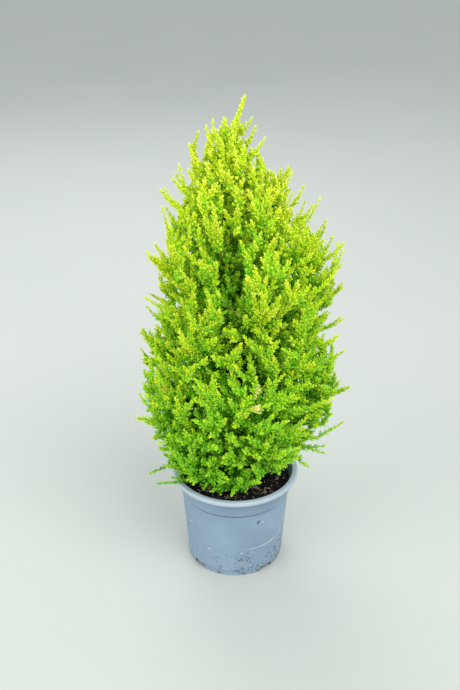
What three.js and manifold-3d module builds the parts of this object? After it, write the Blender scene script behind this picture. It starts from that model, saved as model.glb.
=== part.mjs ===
// A young golden cypress in a plastic nursery pot.
//
// A straight stem runs from the compost up through the plant. Ascending boughs leave it in a
// golden-angle spiral, and each bough ends in a plume: a stem with side twigs that carry toothed
// sprays of scale leaves. The plumes share out the crown between them, so none touches another.
//
// Units are millimetres. The origin is the centre of the pot's underside, +Z points up and
// -Y is the front.

import * as THREE from "three";
import { mergeVertices } from "three/addons/utils/BufferGeometryUtils.js";
import Module from "manifold-3d";

const wasm = await Module();
wasm.setup();

// ---------------------------------------------------------------- driving dimensions

const GAP = 0.3; // air between two pieces that meet
const HAIR = 0.02; // edges shorter than this are left out of fused pieces
const GOLDEN_ANGLE = 2 * Math.PI * (1 - 1 / ((1 + Math.sqrt(5)) / 2));
const UP = new THREE.Vector3(0, 0, 1);

const pot = {
  height: 112,
  segments: 36,
  lipOuter: 70, // radius of the rim's outer edge
  lipInner: 63.5,
  lipDepth: 5.6,
  lipRound: 1.5,
  collarTop: 62.4, // outer radius just under the lip
  collarFoot: 61.4,
  stepHeight: 88, // where the collar steps in to the wall
  stepDepth: 1.1,
  wallFoot: 54.2, // outer radius at the foot of the wall
  wallFootHeight: 9,
  wall: 1.2,
  footHeight: 5.4, // the ring that the wall stands on
  footOuter: 52.8,
  footInner: 49.6,
  channelInner: 41, // a raised ring under the floor drains to the notches
  channelHeight: 2.6,
  floor: 1.4,
  notches: 12,
  wideEvery: 3, // every third notch is a wide one
  wideNotch: 16.4,
  wideNotchHeight: 4.7,
  smallNotch: 4.6,
  smallNotchHeight: 3,
  notchTurn: -4.7, // degrees
};

const compost = {
  top: 101,
  level: 26, // radius of the level ground round the stem
  rings: [36, 48],
  lumps: 1.3, // height of the unevenness outside the level ground
};

const trunk = {
  x: -7,
  y: 1,
  foot: compost.top + GAP,
  top: 430,
  lean: -2, // how far the top stands to the side of the foot
  sway: 2.2,
  swayWaves: 0.8, // bends to and fro on the way up
  sideSway: 0.6, // of the sway, towards the front
  footRadius: 5.3,
  topRadius: 1.5,
  taper: 0.8, // below 1 the stem thins sooner
  flare: 3.4, // added to the radius at the ground
  flareHeight: 9,
  flareLobes: 5,
  flareDepth: 0.16, // of the lobes, as a share of the flare
  sides: 10,
  steps: 13,
};

const crown = {
  plumes: 25,
  bottom: 116, // height of the lowest plume's tip
  top: 498, // height of the highest side plume's tip
  firstTurn: 106, // bearing of the lowest plume in degrees, from +X towards +Y
  turnJitter: 9,
  // Radius of the crown at each height.
  outline: [
    [104, 46],
    [130, 75],
    [165, 97],
    [210, 110],
    [240, 113],
    [275, 100],
    [310, 95],
    [365, 98],
    [395, 87],
    [430, 73],
    [455, 53],
    [480, 37],
    [500, 19],
    [512, 9],
    [526, 4],
  ],
  // The crown leans to the right halfway up and back again towards its top.
  middle: [
    [104, -8],
    [150, -1],
    [200, 3],
    [245, 7],
    [275, 3],
    [320, 10],
    [368, 12],
    [395, 2],
    [440, -2],
    [490, -8],
    [526, 6],
  ],
  tipReach: [0.98, 1.12], // shares of the outline between which plume tips stand
  flank: 0.93, // sprays stop at this share of the outline, and only plume tips pass it
  potClearance: 2.5,
  rimMargin: 4, // foliage keeps above the rim from this far inside it
  midFrom: 240, // heights from which the middle and the top finish are used
  topFrom: 380,
};

const bough = {
  risePerTip: [
    [116, 6],
    [200, 40],
    [320, 66],
    [498, 84],
  ], // how far a plume's tip stands above its bough's root
  share: 0.21, // of the way out to the plume's tip
  climb: 0.3, // of the rise that the bough itself makes
  sag: 0.35, // height of the bough's bend as a share of its own rise
  leastHeight: 8, // of a bough's root above the ground
  rootRadius: 1.9,
  tipRadius: 1.15,
  sides: 5,
  steps: 3,
};

const plume = {
  // Half-width of a plume's space along its stem, as a share of its length.
  girth: [
    [0, 0.42],
    [0.3, 0.55],
    [0.6, 0.5],
    [0.85, 0.34],
    [1, 0.14],
  ],
  widest: 52, // millimetres, where a long plume would be wider
  widestShare: 0.44,
  bendShare: 0.45, // of its length, before a stem turns to its tip
  stemRadius: 1.1,
  core: {
    fill: 0.16, // of the way from the stem to the edge of the space
    sides: 5,
    shares: [0, 0.25, 0.6], // where its rings stand on the stem
    swell: [0, 1, 0.8], // how much of its fill each ring reaches
    end: 0.9,
  },
  endSpray: 0.45, // length of the spray at the tip, as a share of the stem
  endOverlap: 4,
  twigs: 8, // at most, on one stem
  tries: 60,
  stride: 7, // tries go up and down the stem in turn
  twigJitter: 0.7, // radians
  reachSpread: [1.5, 1.8], // what the half-width is multiplied by for a twig's limit
  firstTwig: 0.045,
  lastTwig: 0.86,
  lowAngle: 62, // degrees between stem and twig, low on the stem and near its tip
  highAngle: 30,
  lift: 0.35, // how strongly a twig turns up
  cellMargin: 1.6,
  probe: 1.5, // step of the search for a space's edge, and the start that isn't searched
  probeFrom: 6,
};

const leader = { tipX: 8.5, tipY: -1, tipHeight: 526, girth: 28 };

const spray = {
  twigRadius: 0.75,
  leastReach: 15, // a twig with less room than this is left off
  longest: 48,
  reachShare: 0.9, // of a twig's reach, taken by the spray at its tip
  shorter: [1, 0.8, 0.6], // lengths that are tried in turn
  teeth: 3, // on each side
  firstTooth: 0.42, // place of the first tooth's tip along the spray, and the step to the next
  toothStep: 0.22,
  width: 0.28, // from the middle to the first tooth's tip, as a share of the length
  taper: 0.4, // how much less the last tooth reaches
  notch: 0.4, // depth left between two teeth
  lift: 0.09, // how far teeth stand out of the spray's plane, up and down in turn
  thickness: 0.06,
  limbMargin: 1.2,
};

// The window: a gap in the front of the crown through which the stem shows.
const gapInFront = { x: 4, height: 338, halfWidth: 17, halfHeight: 32, depth: 34 };

const finishes = {
  plastic: new THREE.MeshStandardMaterial({ color: 0x90a8bb, roughness: 0.5 }),
  compost: new THREE.MeshStandardMaterial({ color: 0x2b241f, roughness: 0.95 }),
  bark: new THREE.MeshStandardMaterial({ color: 0x7a5236, roughness: 0.85 }),
  lowFoliage: new THREE.MeshStandardMaterial({ color: 0x6aa51f, roughness: 0.7 }),
  midFoliage: new THREE.MeshStandardMaterial({ color: 0x8fc022, roughness: 0.7 }),
  topFoliage: new THREE.MeshStandardMaterial({ color: 0xc2dc25, roughness: 0.7 }),
};

// ---------------------------------------------------------------- numbers and solids

// A repeatable source of numbers between 0 and 1.
function seeded(seed) {
  let state = seed >>> 0;
  return () => {
    state = (state + 0x6d2b79f5) >>> 0;
    let t = Math.imul(state ^ (state >>> 15), 1 | state);
    t = (t + Math.imul(t ^ (t >>> 7), 61 | t)) ^ t;
    return ((t ^ (t >>> 14)) >>> 0) / 4294967296;
  };
}

// The value at x of a line through the given [x, value] points.
function along(points, x) {
  const last = points.length - 1;
  if (x <= points[0][0]) return points[0][1];
  if (x >= points[last][0]) return points[last][1];
  const i = points.findIndex(([px]) => px > x) - 1;
  const [[x0, v0], [x1, v1]] = [points[i], points[i + 1]];
  return v0 + ((x - x0) / (x1 - x0)) * (v1 - v0);
}

function toSolid(geometry) {
  const bare = geometry.clone();
  for (const name of Object.keys(bare.attributes)) {
    if (name !== "position") bare.deleteAttribute(name);
  }
  const merged = mergeVertices(bare, 1e-3);
  return new wasm.Manifold(
    new wasm.Mesh({
      numProp: 3,
      vertProperties: new Float32Array(merged.attributes.position.array),
      triVerts: new Uint32Array(merged.index.array),
    }),
  );
}

function toGeometry(solid) {
  const mesh = solid.getMesh();
  const positions = new Float32Array(mesh.numVert * 3);
  for (let i = 0; i < mesh.numVert; i++) {
    positions.set(mesh.vertProperties.subarray(i * mesh.numProp, i * mesh.numProp + 3), i * 3);
  }
  const geometry = new THREE.BufferGeometry();
  geometry.setAttribute("position", new THREE.BufferAttribute(positions, 3));
  geometry.setIndex(new THREE.BufferAttribute(new Uint32Array(mesh.triVerts), 1));
  geometry.computeVertexNormals();
  return geometry;
}

function fuse(solids) {
  return solids.reduce((whole, piece) => whole.add(piece));
}

// The biggest of the separate bodies that a solid falls into.
function largestBody(solid) {
  const bodies = solid.decompose();
  return bodies.reduce((best, body) => (body.volume() > best.volume() ? body : best));
}

function named(name, geometry, material) {
  const mesh = new THREE.Mesh(geometry, material);
  mesh.name = name;
  return mesh;
}

// ---------------------------------------------------------------- limbs

// A closed round limb along a curve: a lathed rod whose axis is bent onto the curve.
// radiusAt(share, turn) gives its radius at a share of its length.
function limbGeometry(curve, radiusAt, sides, steps) {
  const shares = Array.from({ length: steps + 1 }, (_, i) => i / steps);
  const profile = [
    new THREE.Vector2(0, 0),
    ...shares.map((share) => new THREE.Vector2(1, share)),
    new THREE.Vector2(0, 1),
  ];
  const rod = new THREE.LatheGeometry(profile, sides);
  const position = rod.attributes.position;
  const chord = curve.getPointAt(1).sub(curve.getPointAt(0)).normalize();
  const alongX = Math.abs(chord.x) > 0.8;
  const reference = new THREE.Vector3(alongX ? 0 : 1, alongX ? 1 : 0, 0);
  for (let i = 0; i < position.count; i++) {
    const [px, share, pz] = [position.getX(i), position.getY(i), position.getZ(i)];
    const tangent = curve.getTangentAt(share);
    const side = reference.clone().addScaledVector(tangent, -reference.dot(tangent)).normalize();
    const front = new THREE.Vector3().crossVectors(side, tangent);
    const radius = radiusAt(share, Math.atan2(pz, px));
    const point = curve.getPointAt(share);
    point.addScaledVector(side, px * radius).addScaledVector(front, pz * radius);
    position.setXYZ(i, point.x, point.y, point.z);
  }
  return rod;
}

const trunkCurve = new THREE.CatmullRomCurve3(
  Array.from({ length: 7 }, (_, i) => {
    const share = i / 6;
    const bend = Math.sin(share * 2 * Math.PI * trunk.swayWaves) * trunk.sway;
    return new THREE.Vector3(
      trunk.x + trunk.lean * share + bend,
      trunk.y - trunk.sideSway * bend,
      trunk.foot + (trunk.top - trunk.foot) * share,
    );
  }),
);

function trunkRadius(share, turn) {
  const height = share * (trunk.top - trunk.foot);
  const taper = trunk.footRadius + (trunk.topRadius - trunk.footRadius) * share ** trunk.taper;
  const lobes = 1 + trunk.flareDepth * Math.cos(trunk.flareLobes * turn);
  return taper + trunk.flare * Math.exp(-height / trunk.flareHeight) * lobes;
}

function trunkAt(height) {
  const share = (height - trunk.foot) / (trunk.top - trunk.foot);
  return trunkCurve.getPointAt(THREE.MathUtils.clamp(share, 0, 1));
}

// ---------------------------------------------------------------- the plan of the crown

// The height below which a share of the crown's skin lies, so that tips are spread evenly.
function heightAtShare(share) {
  const slices = 200;
  const step = (crown.top - crown.bottom) / slices;
  const heights = Array.from({ length: slices }, (_, i) => crown.bottom + (i + 0.5) * step);
  const total = heights.reduce((sum, z) => sum + along(crown.outline, z), 0);
  let sum = 0;
  return heights.find((z) => (sum += along(crown.outline, z)) >= share * total) ?? crown.top;
}

// One plume: the bough from the stem out to its own stem, and the samples that its space is
// measured from.
function planPlume(index) {
  const random = seeded(1000 + 17 * index);
  const height = heightAtShare((index + 0.5) / crown.plumes);
  const jitter = (random() - 0.5) * 2 * crown.turnJitter;
  const bearing = THREE.MathUtils.degToRad(crown.firstTurn + jitter) + index * GOLDEN_ANGLE;
  const outward = new THREE.Vector3(Math.cos(bearing), Math.sin(bearing), 0);
  const reach = along(crown.outline, height) * THREE.MathUtils.lerp(...crown.tipReach, random());
  const tip = outward.clone().multiplyScalar(reach);
  tip.x += along(crown.middle, height);
  tip.z = height;
  const rise = along(bough.risePerTip, height);
  const root = trunkAt(Math.max(height - rise, trunk.foot + bough.leastHeight));
  const way = tip.clone().sub(root);
  const end = root.clone().addScaledVector(way, bough.share);
  end.z = root.z + way.z * bough.share * bough.climb * 2;
  const bend = root.clone().lerp(end, 0.5);
  bend.z = root.z + (end.z - root.z) * bough.sag;
  const limb = new THREE.QuadraticBezierCurve3(root, bend, end);
  return stemFrom(limb, tip, index);
}

// The stem of a plume goes on in line from the tip of its bough, then turns to its own tip.
function stemFrom(limb, tip, index) {
  const heading = limb.getTangentAt(1);
  const foot = limb.getPointAt(1).addScaledVector(heading, GAP);
  const length = foot.distanceTo(tip);
  const bend = foot.clone().addScaledVector(heading, length * plume.bendShare);
  const stem = new THREE.QuadraticBezierCurve3(foot, bend, tip);
  const girth = Math.min(1, plume.widest / (plume.widestShare * length));
  return { index, limb, stem, length, girth, samples: stem.getSpacedPoints(18) };
}

function planLeader() {
  const limb = new THREE.LineCurve3(trunkAt(trunk.top - 20), trunkCurve.getPointAt(1));
  const tip = new THREE.Vector3(leader.tipX, leader.tipY, leader.tipHeight);
  const plan = stemFrom(limb, tip, crown.plumes);
  plan.girth = leader.girth / (plume.widestShare * plan.length);
  return plan;
}

const plans = [...Array(crown.plumes).keys()].map(planPlume);
plans.push(planLeader());

function halfWidth(plan, share) {
  return along(plume.girth, share) * plan.length * plan.girth;
}

// ---------------------------------------------------------------- the space of each plume

function distanceTo(points, p) {
  return Math.sqrt(Math.min(...points.map((q) => q.distanceToSquared(p))));
}

const limbSamples = [
  { points: trunkCurve.getSpacedPoints(120), radius: trunk.footRadius },
  ...plans.slice(0, -1).map((plan) => ({
    points: plan.limb.getSpacedPoints(12),
    radius: bough.rootRadius,
  })),
];

function insideCrown(p) {
  const radius = along(crown.outline, p.z) * crown.flank;
  return Math.hypot(p.x - along(crown.middle, p.z), p.y) < radius && p.z < crown.outline.at(-1)[0];
}

function clearOfPot(p) {
  const overRim = Math.hypot(p.x, p.y) > pot.lipInner - crown.rimMargin;
  return p.z > (overRim ? pot.height : compost.top + compost.lumps) + crown.potClearance;
}

function clearOfWindow(p) {
  const across = (p.x - gapInFront.x) / gapInFront.halfWidth;
  const up = (p.z - gapInFront.height) / gapInFront.halfHeight;
  return across * across + up * up > 1 || p.y > -gapInFront.depth;
}

// Whether a point belongs to a plume: nearer to its stem than to any other, inside the crown,
// and clear of every limb and of the pot.
function belongs(plan, p) {
  if (!insideCrown(p) || !clearOfPot(p) || !clearOfWindow(p)) return false;
  const own = distanceTo(plan.samples, p);
  for (const other of plans) {
    if (other === plan) continue;
    if (distanceTo(other.samples, p) - own < plume.cellMargin) return false;
  }
  return limbSamples.every((limb) => distanceTo(limb.points, p) > limb.radius + spray.limbMargin);
}

// How far a plume's space reaches from a point in a direction.
function reachFrom(plan, start, direction, limit) {
  const p = start.clone();
  for (let reach = 0; reach < limit; reach += plume.probe) {
    p.addScaledVector(direction, plume.probe);
    if (reach > plume.probeFrom && !belongs(plan, p)) return reach;
  }
  return limit;
}

// ---------------------------------------------------------------- sprays and plumes

// A three-sided twig that opens into a toothed spray, along +x from the origin. Teeth point
// forwards on both sides, and both faces of the spray rise to a point in its middle.
function sprayGeometry(reach, length) {
  const foot = reach - length;
  const half = spray.twigRadius;
  const section = [[-half, -half * 0.6], [0, half], [half, -half * 0.6]];
  const side = [];
  for (let i = 0; i < spray.teeth; i++) {
    const x = spray.firstTooth + i * spray.toothStep;
    const y = spray.width * (1 - spray.taper * (i / (spray.teeth - 1)) ** 2);
    side.push([x, y, i % 2 ? -spray.lift : spray.lift]);
    side.push([x + 0.03, y * spray.notch, 0]);
  }
  const mirrored = side.toReversed().map(([x, y, z]) => [x, -y, -z]);
  const middle = [1, -1].map((face) => [spray.firstTooth, 0, (face * spray.thickness) / 2]);
  const points = [
    ...section.map(([y, z]) => new THREE.Vector3(0, y, z)),
    ...section.map(([y, z]) => new THREE.Vector3(foot, y, z)),
    ...[...side, [1, 0, 0], ...mirrored, ...middle].map(
      ([x, y, z]) => new THREE.Vector3(foot + x * length, y * length, z * length),
    ),
  ];
  const [right, ridge, left] = [3, 4, 5];
  const [top, under] = [points.length - 2, points.length - 1];
  const edge = [left, ...points.keys().drop(6).take(points.length - 8), right];
  const index = [0, 1, 2, top, ridge, right, top, left, ridge, under, right, left];
  for (let i = 0; i + 1 < edge.length; i++) {
    index.push(top, edge[i + 1], edge[i], under, edge[i], edge[i + 1]);
  }
  for (let i = 0; i < 3; i++) {
    const next = (i + 1) % 3;
    index.push(i, next + 3, next, i, i + 3, next + 3);
  }
  return new THREE.BufferGeometry().setFromPoints(points).setIndex(index);
}

// The frame that lays +x along a direction, with the flat side turned to face another direction.
function layAlong(direction, facing, origin) {
  const x = direction.clone().normalize();
  const y = new THREE.Vector3().crossVectors(facing, x).normalize();
  const z = new THREE.Vector3().crossVectors(x, y);
  return new THREE.Matrix4().makeBasis(x, y, z).setPosition(origin);
}

function placedSpray(root, direction, facing, reach, length) {
  return sprayGeometry(reach, length).applyMatrix4(layAlong(direction, facing, root));
}

// Whether all of a spray's own points, past its twig, are in the plume's space.
function fits(plan, geometry) {
  const position = geometry.attributes.position;
  const p = new THREE.Vector3();
  for (let i = 6; i < position.count; i++) {
    if (!belongs(plan, p.fromBufferAttribute(position, i))) return false;
  }
  return true;
}

// The longest side twig and spray that a plume's space lets grow from a point, or none.
function sprayFrom(plan, root, heading, limit, random) {
  const reach = reachFrom(plan, root, heading, limit);
  if (reach < spray.leastReach) return null;
  const facing = new THREE.Vector3(root.x, root.y, 30 * random()).normalize();
  facing.add(new THREE.Vector3(random() - 0.5, random() - 0.5, random() - 0.5));
  const longest = Math.min(spray.longest, reach * spray.reachShare);
  const tries = spray.shorter.map((share) =>
    placedSpray(root, heading, facing, reach, longest * share),
  );
  return tries.find((made) => fits(plan, made)) ?? null;
}

// The direction at a turn about a plume's stem, square to it.
function acrossStem(plan, share, turn) {
  const tangent = plan.stem.getTangentAt(share);
  const across = new THREE.Vector3().crossVectors(tangent, UP).normalize();
  return across.applyAxisAngle(tangent, turn);
}

// The stem of a plume, swelling into a lumpy core that fills the middle of the plume's space.
function coreGeometry(plan) {
  const { fill, sides, shares, swell, end } = plume.core;
  const points = [plan.stem.getPointAt(0)];
  shares.forEach((share, ring) => {
    const centre = plan.stem.getPointAt(share);
    for (let i = 0; i < sides; i++) {
      const direction = acrossStem(plan, share, (i / sides) * 2 * Math.PI);
      const room = swell[ring] ? reachFrom(plan, centre, direction, halfWidth(plan, share)) : 0;
      const radius = plume.stemRadius * (1 - share / 2) + fill * swell[ring] * room;
      points.push(centre.clone().addScaledVector(direction, radius));
    }
  });
  points.push(plan.stem.getPointAt(end));
  const at = (ring, i) => 1 + ring * sides + (i % sides);
  const rings = shares.length;
  const index = [];
  for (let i = 0; i < sides; i++) {
    index.push(0, at(0, i + 1), at(0, i));
    index.push(points.length - 1, at(rings - 1, i), at(rings - 1, i + 1));
    for (let ring = 0; ring + 1 < rings; ring++) {
      index.push(at(ring, i), at(ring, i + 1), at(ring + 1, i));
      index.push(at(ring, i + 1), at(ring + 1, i + 1), at(ring + 1, i));
    }
  }
  return new THREE.BufferGeometry().setFromPoints(points).setIndex(index);
}

// The spray that a plume's stem ends in.
function endSpray(plan) {
  const heading = plan.stem.getTangentAt(1);
  const length = Math.min(spray.longest, plan.length * plume.endSpray);
  const reach = length + plume.endOverlap;
  const root = plan.stem.getPointAt(1).addScaledVector(heading, -reach);
  return placedSpray(root, heading, new THREE.Vector3(0.3, -1, 0.2), reach, length);
}

// One mass of foliage: a stem with a slim core, its end spray, and the side sprays that neither
// leave its space nor cross one another.
function plumeSolid(plan) {
  const random = seeded(500 + 31 * plan.index);
  const sprays = [toSolid(endSpray(plan))];
  for (let i = 0; i < plume.tries && sprays.length <= plume.twigs; i++) {
    const place = ((i * plume.stride) % plume.tries) + 0.5;
    const share = plume.firstTwig + (place / plume.tries) * (plume.lastTwig - plume.firstTwig);
    const opening = plume.lowAngle + (plume.highAngle - plume.lowAngle) * share;
    const angle = THREE.MathUtils.degToRad(opening);
    const radial = acrossStem(plan, share, i * GOLDEN_ANGLE + random() * plume.twigJitter);
    const heading = plan.stem.getTangentAt(share).multiplyScalar(Math.cos(angle));
    heading.addScaledVector(radial, Math.sin(angle)).addScaledVector(UP, plume.lift).normalize();
    const root = plan.stem.getPointAt(share);
    const limit = halfWidth(plan, share) * THREE.MathUtils.lerp(...plume.reachSpread, random());
    const geometry = sprayFrom(plan, root, heading, limit, random);
    if (!geometry) continue;
    const solid = toSolid(geometry);
    if (sprays.every((other) => other.intersect(solid).isEmpty())) sprays.push(solid);
  }
  return largestBody(fuse([toSolid(coreGeometry(plan)), ...sprays]).simplify(HAIR));
}

// ---------------------------------------------------------------- the pot and its compost

// The radius of the pot's outer wall at a height between its foot and the step.
function wallRadius(height) {
  const share = (height - pot.wallFootHeight) / (pot.stepHeight - pot.wallFootHeight);
  const top = pot.collarFoot - pot.stepDepth;
  return pot.wallFoot + (top - pot.wallFoot) * share;
}

function potProfile() {
  const lipFoot = pot.height - pot.lipDepth;
  return [
    [0, 0],
    [pot.channelInner - 1, 0],
    [pot.channelInner, pot.channelHeight],
    [pot.footInner, pot.channelHeight],
    [pot.footInner + 0.4, 0],
    [pot.footOuter, 0],
    [pot.footOuter + 0.3, pot.footHeight],
    [pot.wallFoot - 0.6, pot.footHeight + 0.8],
    [pot.wallFoot, pot.wallFootHeight],
    [wallRadius(pot.stepHeight), pot.stepHeight],
    [pot.collarFoot, pot.stepHeight + 0.6],
    [pot.collarTop, lipFoot - 1],
    [pot.lipOuter - 1.2, lipFoot],
    [pot.lipOuter, lipFoot + pot.lipRound],
    [pot.lipOuter - 0.1, pot.height - pot.lipRound],
    [pot.lipOuter - pot.lipRound, pot.height],
    [pot.lipInner + 1.2, pot.height],
    [pot.lipInner, pot.height - 1.2],
    [pot.collarTop - pot.wall, lipFoot - 1],
    [wallRadius(pot.stepHeight) - pot.wall, pot.stepHeight],
    [pot.wallFoot - pot.wall, pot.wallFootHeight],
    [pot.wallFoot - pot.wall - 2, pot.channelHeight + pot.floor],
    [0, pot.channelHeight + pot.floor],
  ].map(([r, z]) => new THREE.Vector2(r, z));
}

// A lathed solid that stands on +Z.
function turned(profile, segments) {
  return new THREE.LatheGeometry(profile, segments).rotateX(Math.PI / 2);
}

function notchGeometry(index) {
  const wide = index % pot.wideEvery === 0;
  const width = wide ? pot.wideNotch : pot.smallNotch;
  const height = wide ? pot.wideNotchHeight : pot.smallNotchHeight;
  const depth = wide ? 8 : 6;
  const box = new THREE.BoxGeometry(width, depth, height + 1);
  box.translate(0, -(pot.footOuter + 1.5 - depth / 2), (height - 1) / 2);
  const pitch = (2 * Math.PI) / pot.notches;
  const turn = THREE.MathUtils.degToRad(pot.notchTurn) + (index + 1.5) * pitch;
  return box.rotateZ(turn);
}

function potSolid() {
  const cuts = [...Array(pot.notches).keys()].map((i) => toSolid(notchGeometry(i)));
  return toSolid(turned(potProfile(), pot.segments)).subtract(fuse(cuts));
}

function compostGeometry() {
  const side = pot.wall + 0.4;
  const bottom = pot.channelHeight + pot.floor + GAP;
  const profile = [
    [0, bottom],
    [pot.wallFoot - side - 2, bottom],
    [pot.wallFoot - side, pot.wallFootHeight],
    [wallRadius(pot.stepHeight) - side, pot.stepHeight],
    [pot.collarFoot - side - 0.4, compost.top - 1],
    ...compost.rings.toReversed().map((r) => [r, compost.top]),
    [compost.level, compost.top],
    [0, compost.top],
  ].map(([r, z]) => new THREE.Vector2(r, z));
  const geometry = turned(profile, pot.segments);
  const position = geometry.attributes.position;
  for (let i = 0; i < position.count; i++) {
    const [x, y, z] = [position.getX(i), position.getY(i), position.getZ(i)];
    if (z < compost.top - 0.5 || Math.hypot(x, y) < compost.level + 1) continue;
    const wave = Math.sin(x * 0.21 + 1) * Math.cos(y * 0.17) + Math.sin(x * 0.09 - y * 0.31);
    position.setZ(i, z + (wave * compost.lumps) / 2);
  }
  return geometry;
}

// ---------------------------------------------------------------- the plant's limbs

// The plant's trunk, cut flat at the ground, and swollen by the clearance that its boughs keep.
function trunkGeometry(clearance = 0) {
  const radiusAt = (share, turn) => trunkRadius(share, turn) + clearance;
  const geometry = limbGeometry(trunkCurve, radiusAt, trunk.sides, trunk.steps);
  const position = geometry.attributes.position;
  for (let i = 0; i < position.count; i++) {
    if (position.getZ(i) < trunk.foot + 1) position.setZ(i, trunk.foot);
  }
  return geometry;
}

function boughSolid(plan, trunkSleeve) {
  const radiusAt = (share) => bough.rootRadius + (bough.tipRadius - bough.rootRadius) * share;
  const limb = toSolid(limbGeometry(plan.limb, radiusAt, bough.sides, bough.steps));
  return largestBody(limb.subtract(trunkSleeve));
}

function foliageFinish(plan) {
  const height = plan.stem.getPointAt(0.7).z;
  if (height > crown.topFrom) return finishes.topFoliage;
  return height > crown.midFrom ? finishes.midFoliage : finishes.lowFoliage;
}

// ---------------------------------------------------------------- the whole plant

const plant = new THREE.Group();
plant.add(named("pot", toGeometry(potSolid()), finishes.plastic));
plant.add(named("compost", compostGeometry(), finishes.compost));
plant.add(named("trunk", trunkGeometry(), finishes.bark));

const trunkSleeve = toSolid(trunkGeometry(GAP));
for (const plan of plans) {
  const isLeader = plan.index === crown.plumes;
  const label = isLeader ? "leader" : String(plan.index + 1).padStart(2, "0");
  if (!isLeader) {
    plant.add(named(`bough_${label}`, toGeometry(boughSolid(plan, trunkSleeve)), finishes.bark));
  }
  plant.add(named(`foliage_${label}`, toGeometry(plumeSolid(plan)), foliageFinish(plan)));
}

export default plant;
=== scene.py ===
"""A young golden cypress in a plastic nursery pot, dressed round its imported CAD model.

The plant grows here by the same rule as its solids: boughs leave the stem in a golden-angle
spiral, each ends in a plume, and the plumes share out the crown between them. The rule is carried
on to side twigs and to small sprays of scale-leaved branchlets. Lengths in the classes are in
millimetres and angles in degrees, unless a comment says otherwise. A mesh gets metres when it is
made.
"""

import logging
import math
from dataclasses import dataclass, field
from enum import Enum
from functools import reduce

import bpy
import numpy as np
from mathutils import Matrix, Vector, kdtree, noise


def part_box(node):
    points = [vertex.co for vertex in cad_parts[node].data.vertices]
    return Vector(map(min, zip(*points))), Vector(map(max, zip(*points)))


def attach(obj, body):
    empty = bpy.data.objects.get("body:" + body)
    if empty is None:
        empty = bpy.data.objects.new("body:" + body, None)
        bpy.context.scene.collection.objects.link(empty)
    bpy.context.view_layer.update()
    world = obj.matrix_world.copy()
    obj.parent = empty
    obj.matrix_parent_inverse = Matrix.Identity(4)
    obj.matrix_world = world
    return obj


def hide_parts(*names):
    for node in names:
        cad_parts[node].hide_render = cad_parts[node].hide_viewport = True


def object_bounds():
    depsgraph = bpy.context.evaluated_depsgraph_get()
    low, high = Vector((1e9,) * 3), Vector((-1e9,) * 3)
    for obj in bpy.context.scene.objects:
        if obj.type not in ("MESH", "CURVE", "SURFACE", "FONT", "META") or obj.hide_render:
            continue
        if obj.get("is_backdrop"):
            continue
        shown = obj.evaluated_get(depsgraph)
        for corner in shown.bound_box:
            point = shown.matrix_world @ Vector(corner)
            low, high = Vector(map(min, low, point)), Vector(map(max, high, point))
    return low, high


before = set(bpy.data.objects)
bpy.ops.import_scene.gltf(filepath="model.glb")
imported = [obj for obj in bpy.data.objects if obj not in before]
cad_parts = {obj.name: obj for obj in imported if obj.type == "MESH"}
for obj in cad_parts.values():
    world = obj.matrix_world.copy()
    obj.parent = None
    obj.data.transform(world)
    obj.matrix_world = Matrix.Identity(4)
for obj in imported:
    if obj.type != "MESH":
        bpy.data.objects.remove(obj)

LOG = logging.getLogger("cypress")
BODY = "root"
MM = 0.001
UP = np.array([0.0, 0.0, 1.0])
ACROSS = np.array([1.0, 0.0, 0.0])
BACKWARD = np.array([0.0, 1.0, 0.0])
FULL_TURN = 2 * math.pi
GOLDEN_ANGLE = math.pi * (3 - math.sqrt(5))
PIECE_TRIANGLES = 180_000
WELD = 0.02
LEAST_LENGTH = 1e-9
NEARLY_UPRIGHT = 1e-3

Array = np.ndarray
Piece = bpy.types.Object
Material = bpy.types.Material
Socket = bpy.types.NodeSocket
Colour = tuple[int, int, int]
Pair = tuple[float, float]
Triple = tuple[float, float, float]
Table = tuple[Pair, ...]


# ------------------------------------------------------------------------------ small helpers


def linear(rgb: Colour) -> tuple[float, float, float, float]:
    """Turns a screen colour into the linear colour that a shader takes.

    Args:
        rgb: Red, green and blue from 0 to 255.

    Returns:
        The colour with full opacity.
    """
    parts = [c / 255 for c in rgb]
    bent = [c / 12.92 if c <= 0.04045 else ((c + 0.055) / 1.055) ** 2.4 for c in parts]
    return (*bent, 1.0)


def unit(vectors: Array) -> Array:
    """Returns the vectors with length one along the last axis."""
    return vectors / np.maximum(np.linalg.norm(vectors, axis=-1, keepdims=True), LEAST_LENGTH)


def at_height(table: Table, z: Array | float) -> Array | float:
    """Reads a table of (place, value) pairs at a place, in straight lines between them."""
    places, values = zip(*table)
    return np.interp(z, places, values)


def turned_about(vectors: Array, axes: Array, angles: Array | float) -> Array:
    """Turns vectors about unit axes by the right-hand rule.

    Args:
        vectors: The vectors, one a row.
        axes: One unit axis a row.
        angles: Angles in radians, one a row or one for all.

    Returns:
        The turned vectors.
    """
    angles = np.broadcast_to(np.asarray(angles, float), vectors.shape[:-1])[..., None]
    along = (vectors * axes).sum(-1, keepdims=True)
    across = np.cross(axes, vectors)
    return vectors * np.cos(angles) + across * np.sin(angles) + axes * along * (1 - np.cos(angles))


def square_to(vectors: Array) -> Array:
    """Finds a unit vector square to each given one, level where it can be.

    Args:
        vectors: The vectors, one a row or one alone.

    Returns:
        As many unit vectors.
    """
    level = np.cross(vectors, UP)
    steep = np.linalg.norm(level, axis=-1, keepdims=True) < NEARLY_UPRIGHT
    return unit(np.where(steep, ACROSS, level))


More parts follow.
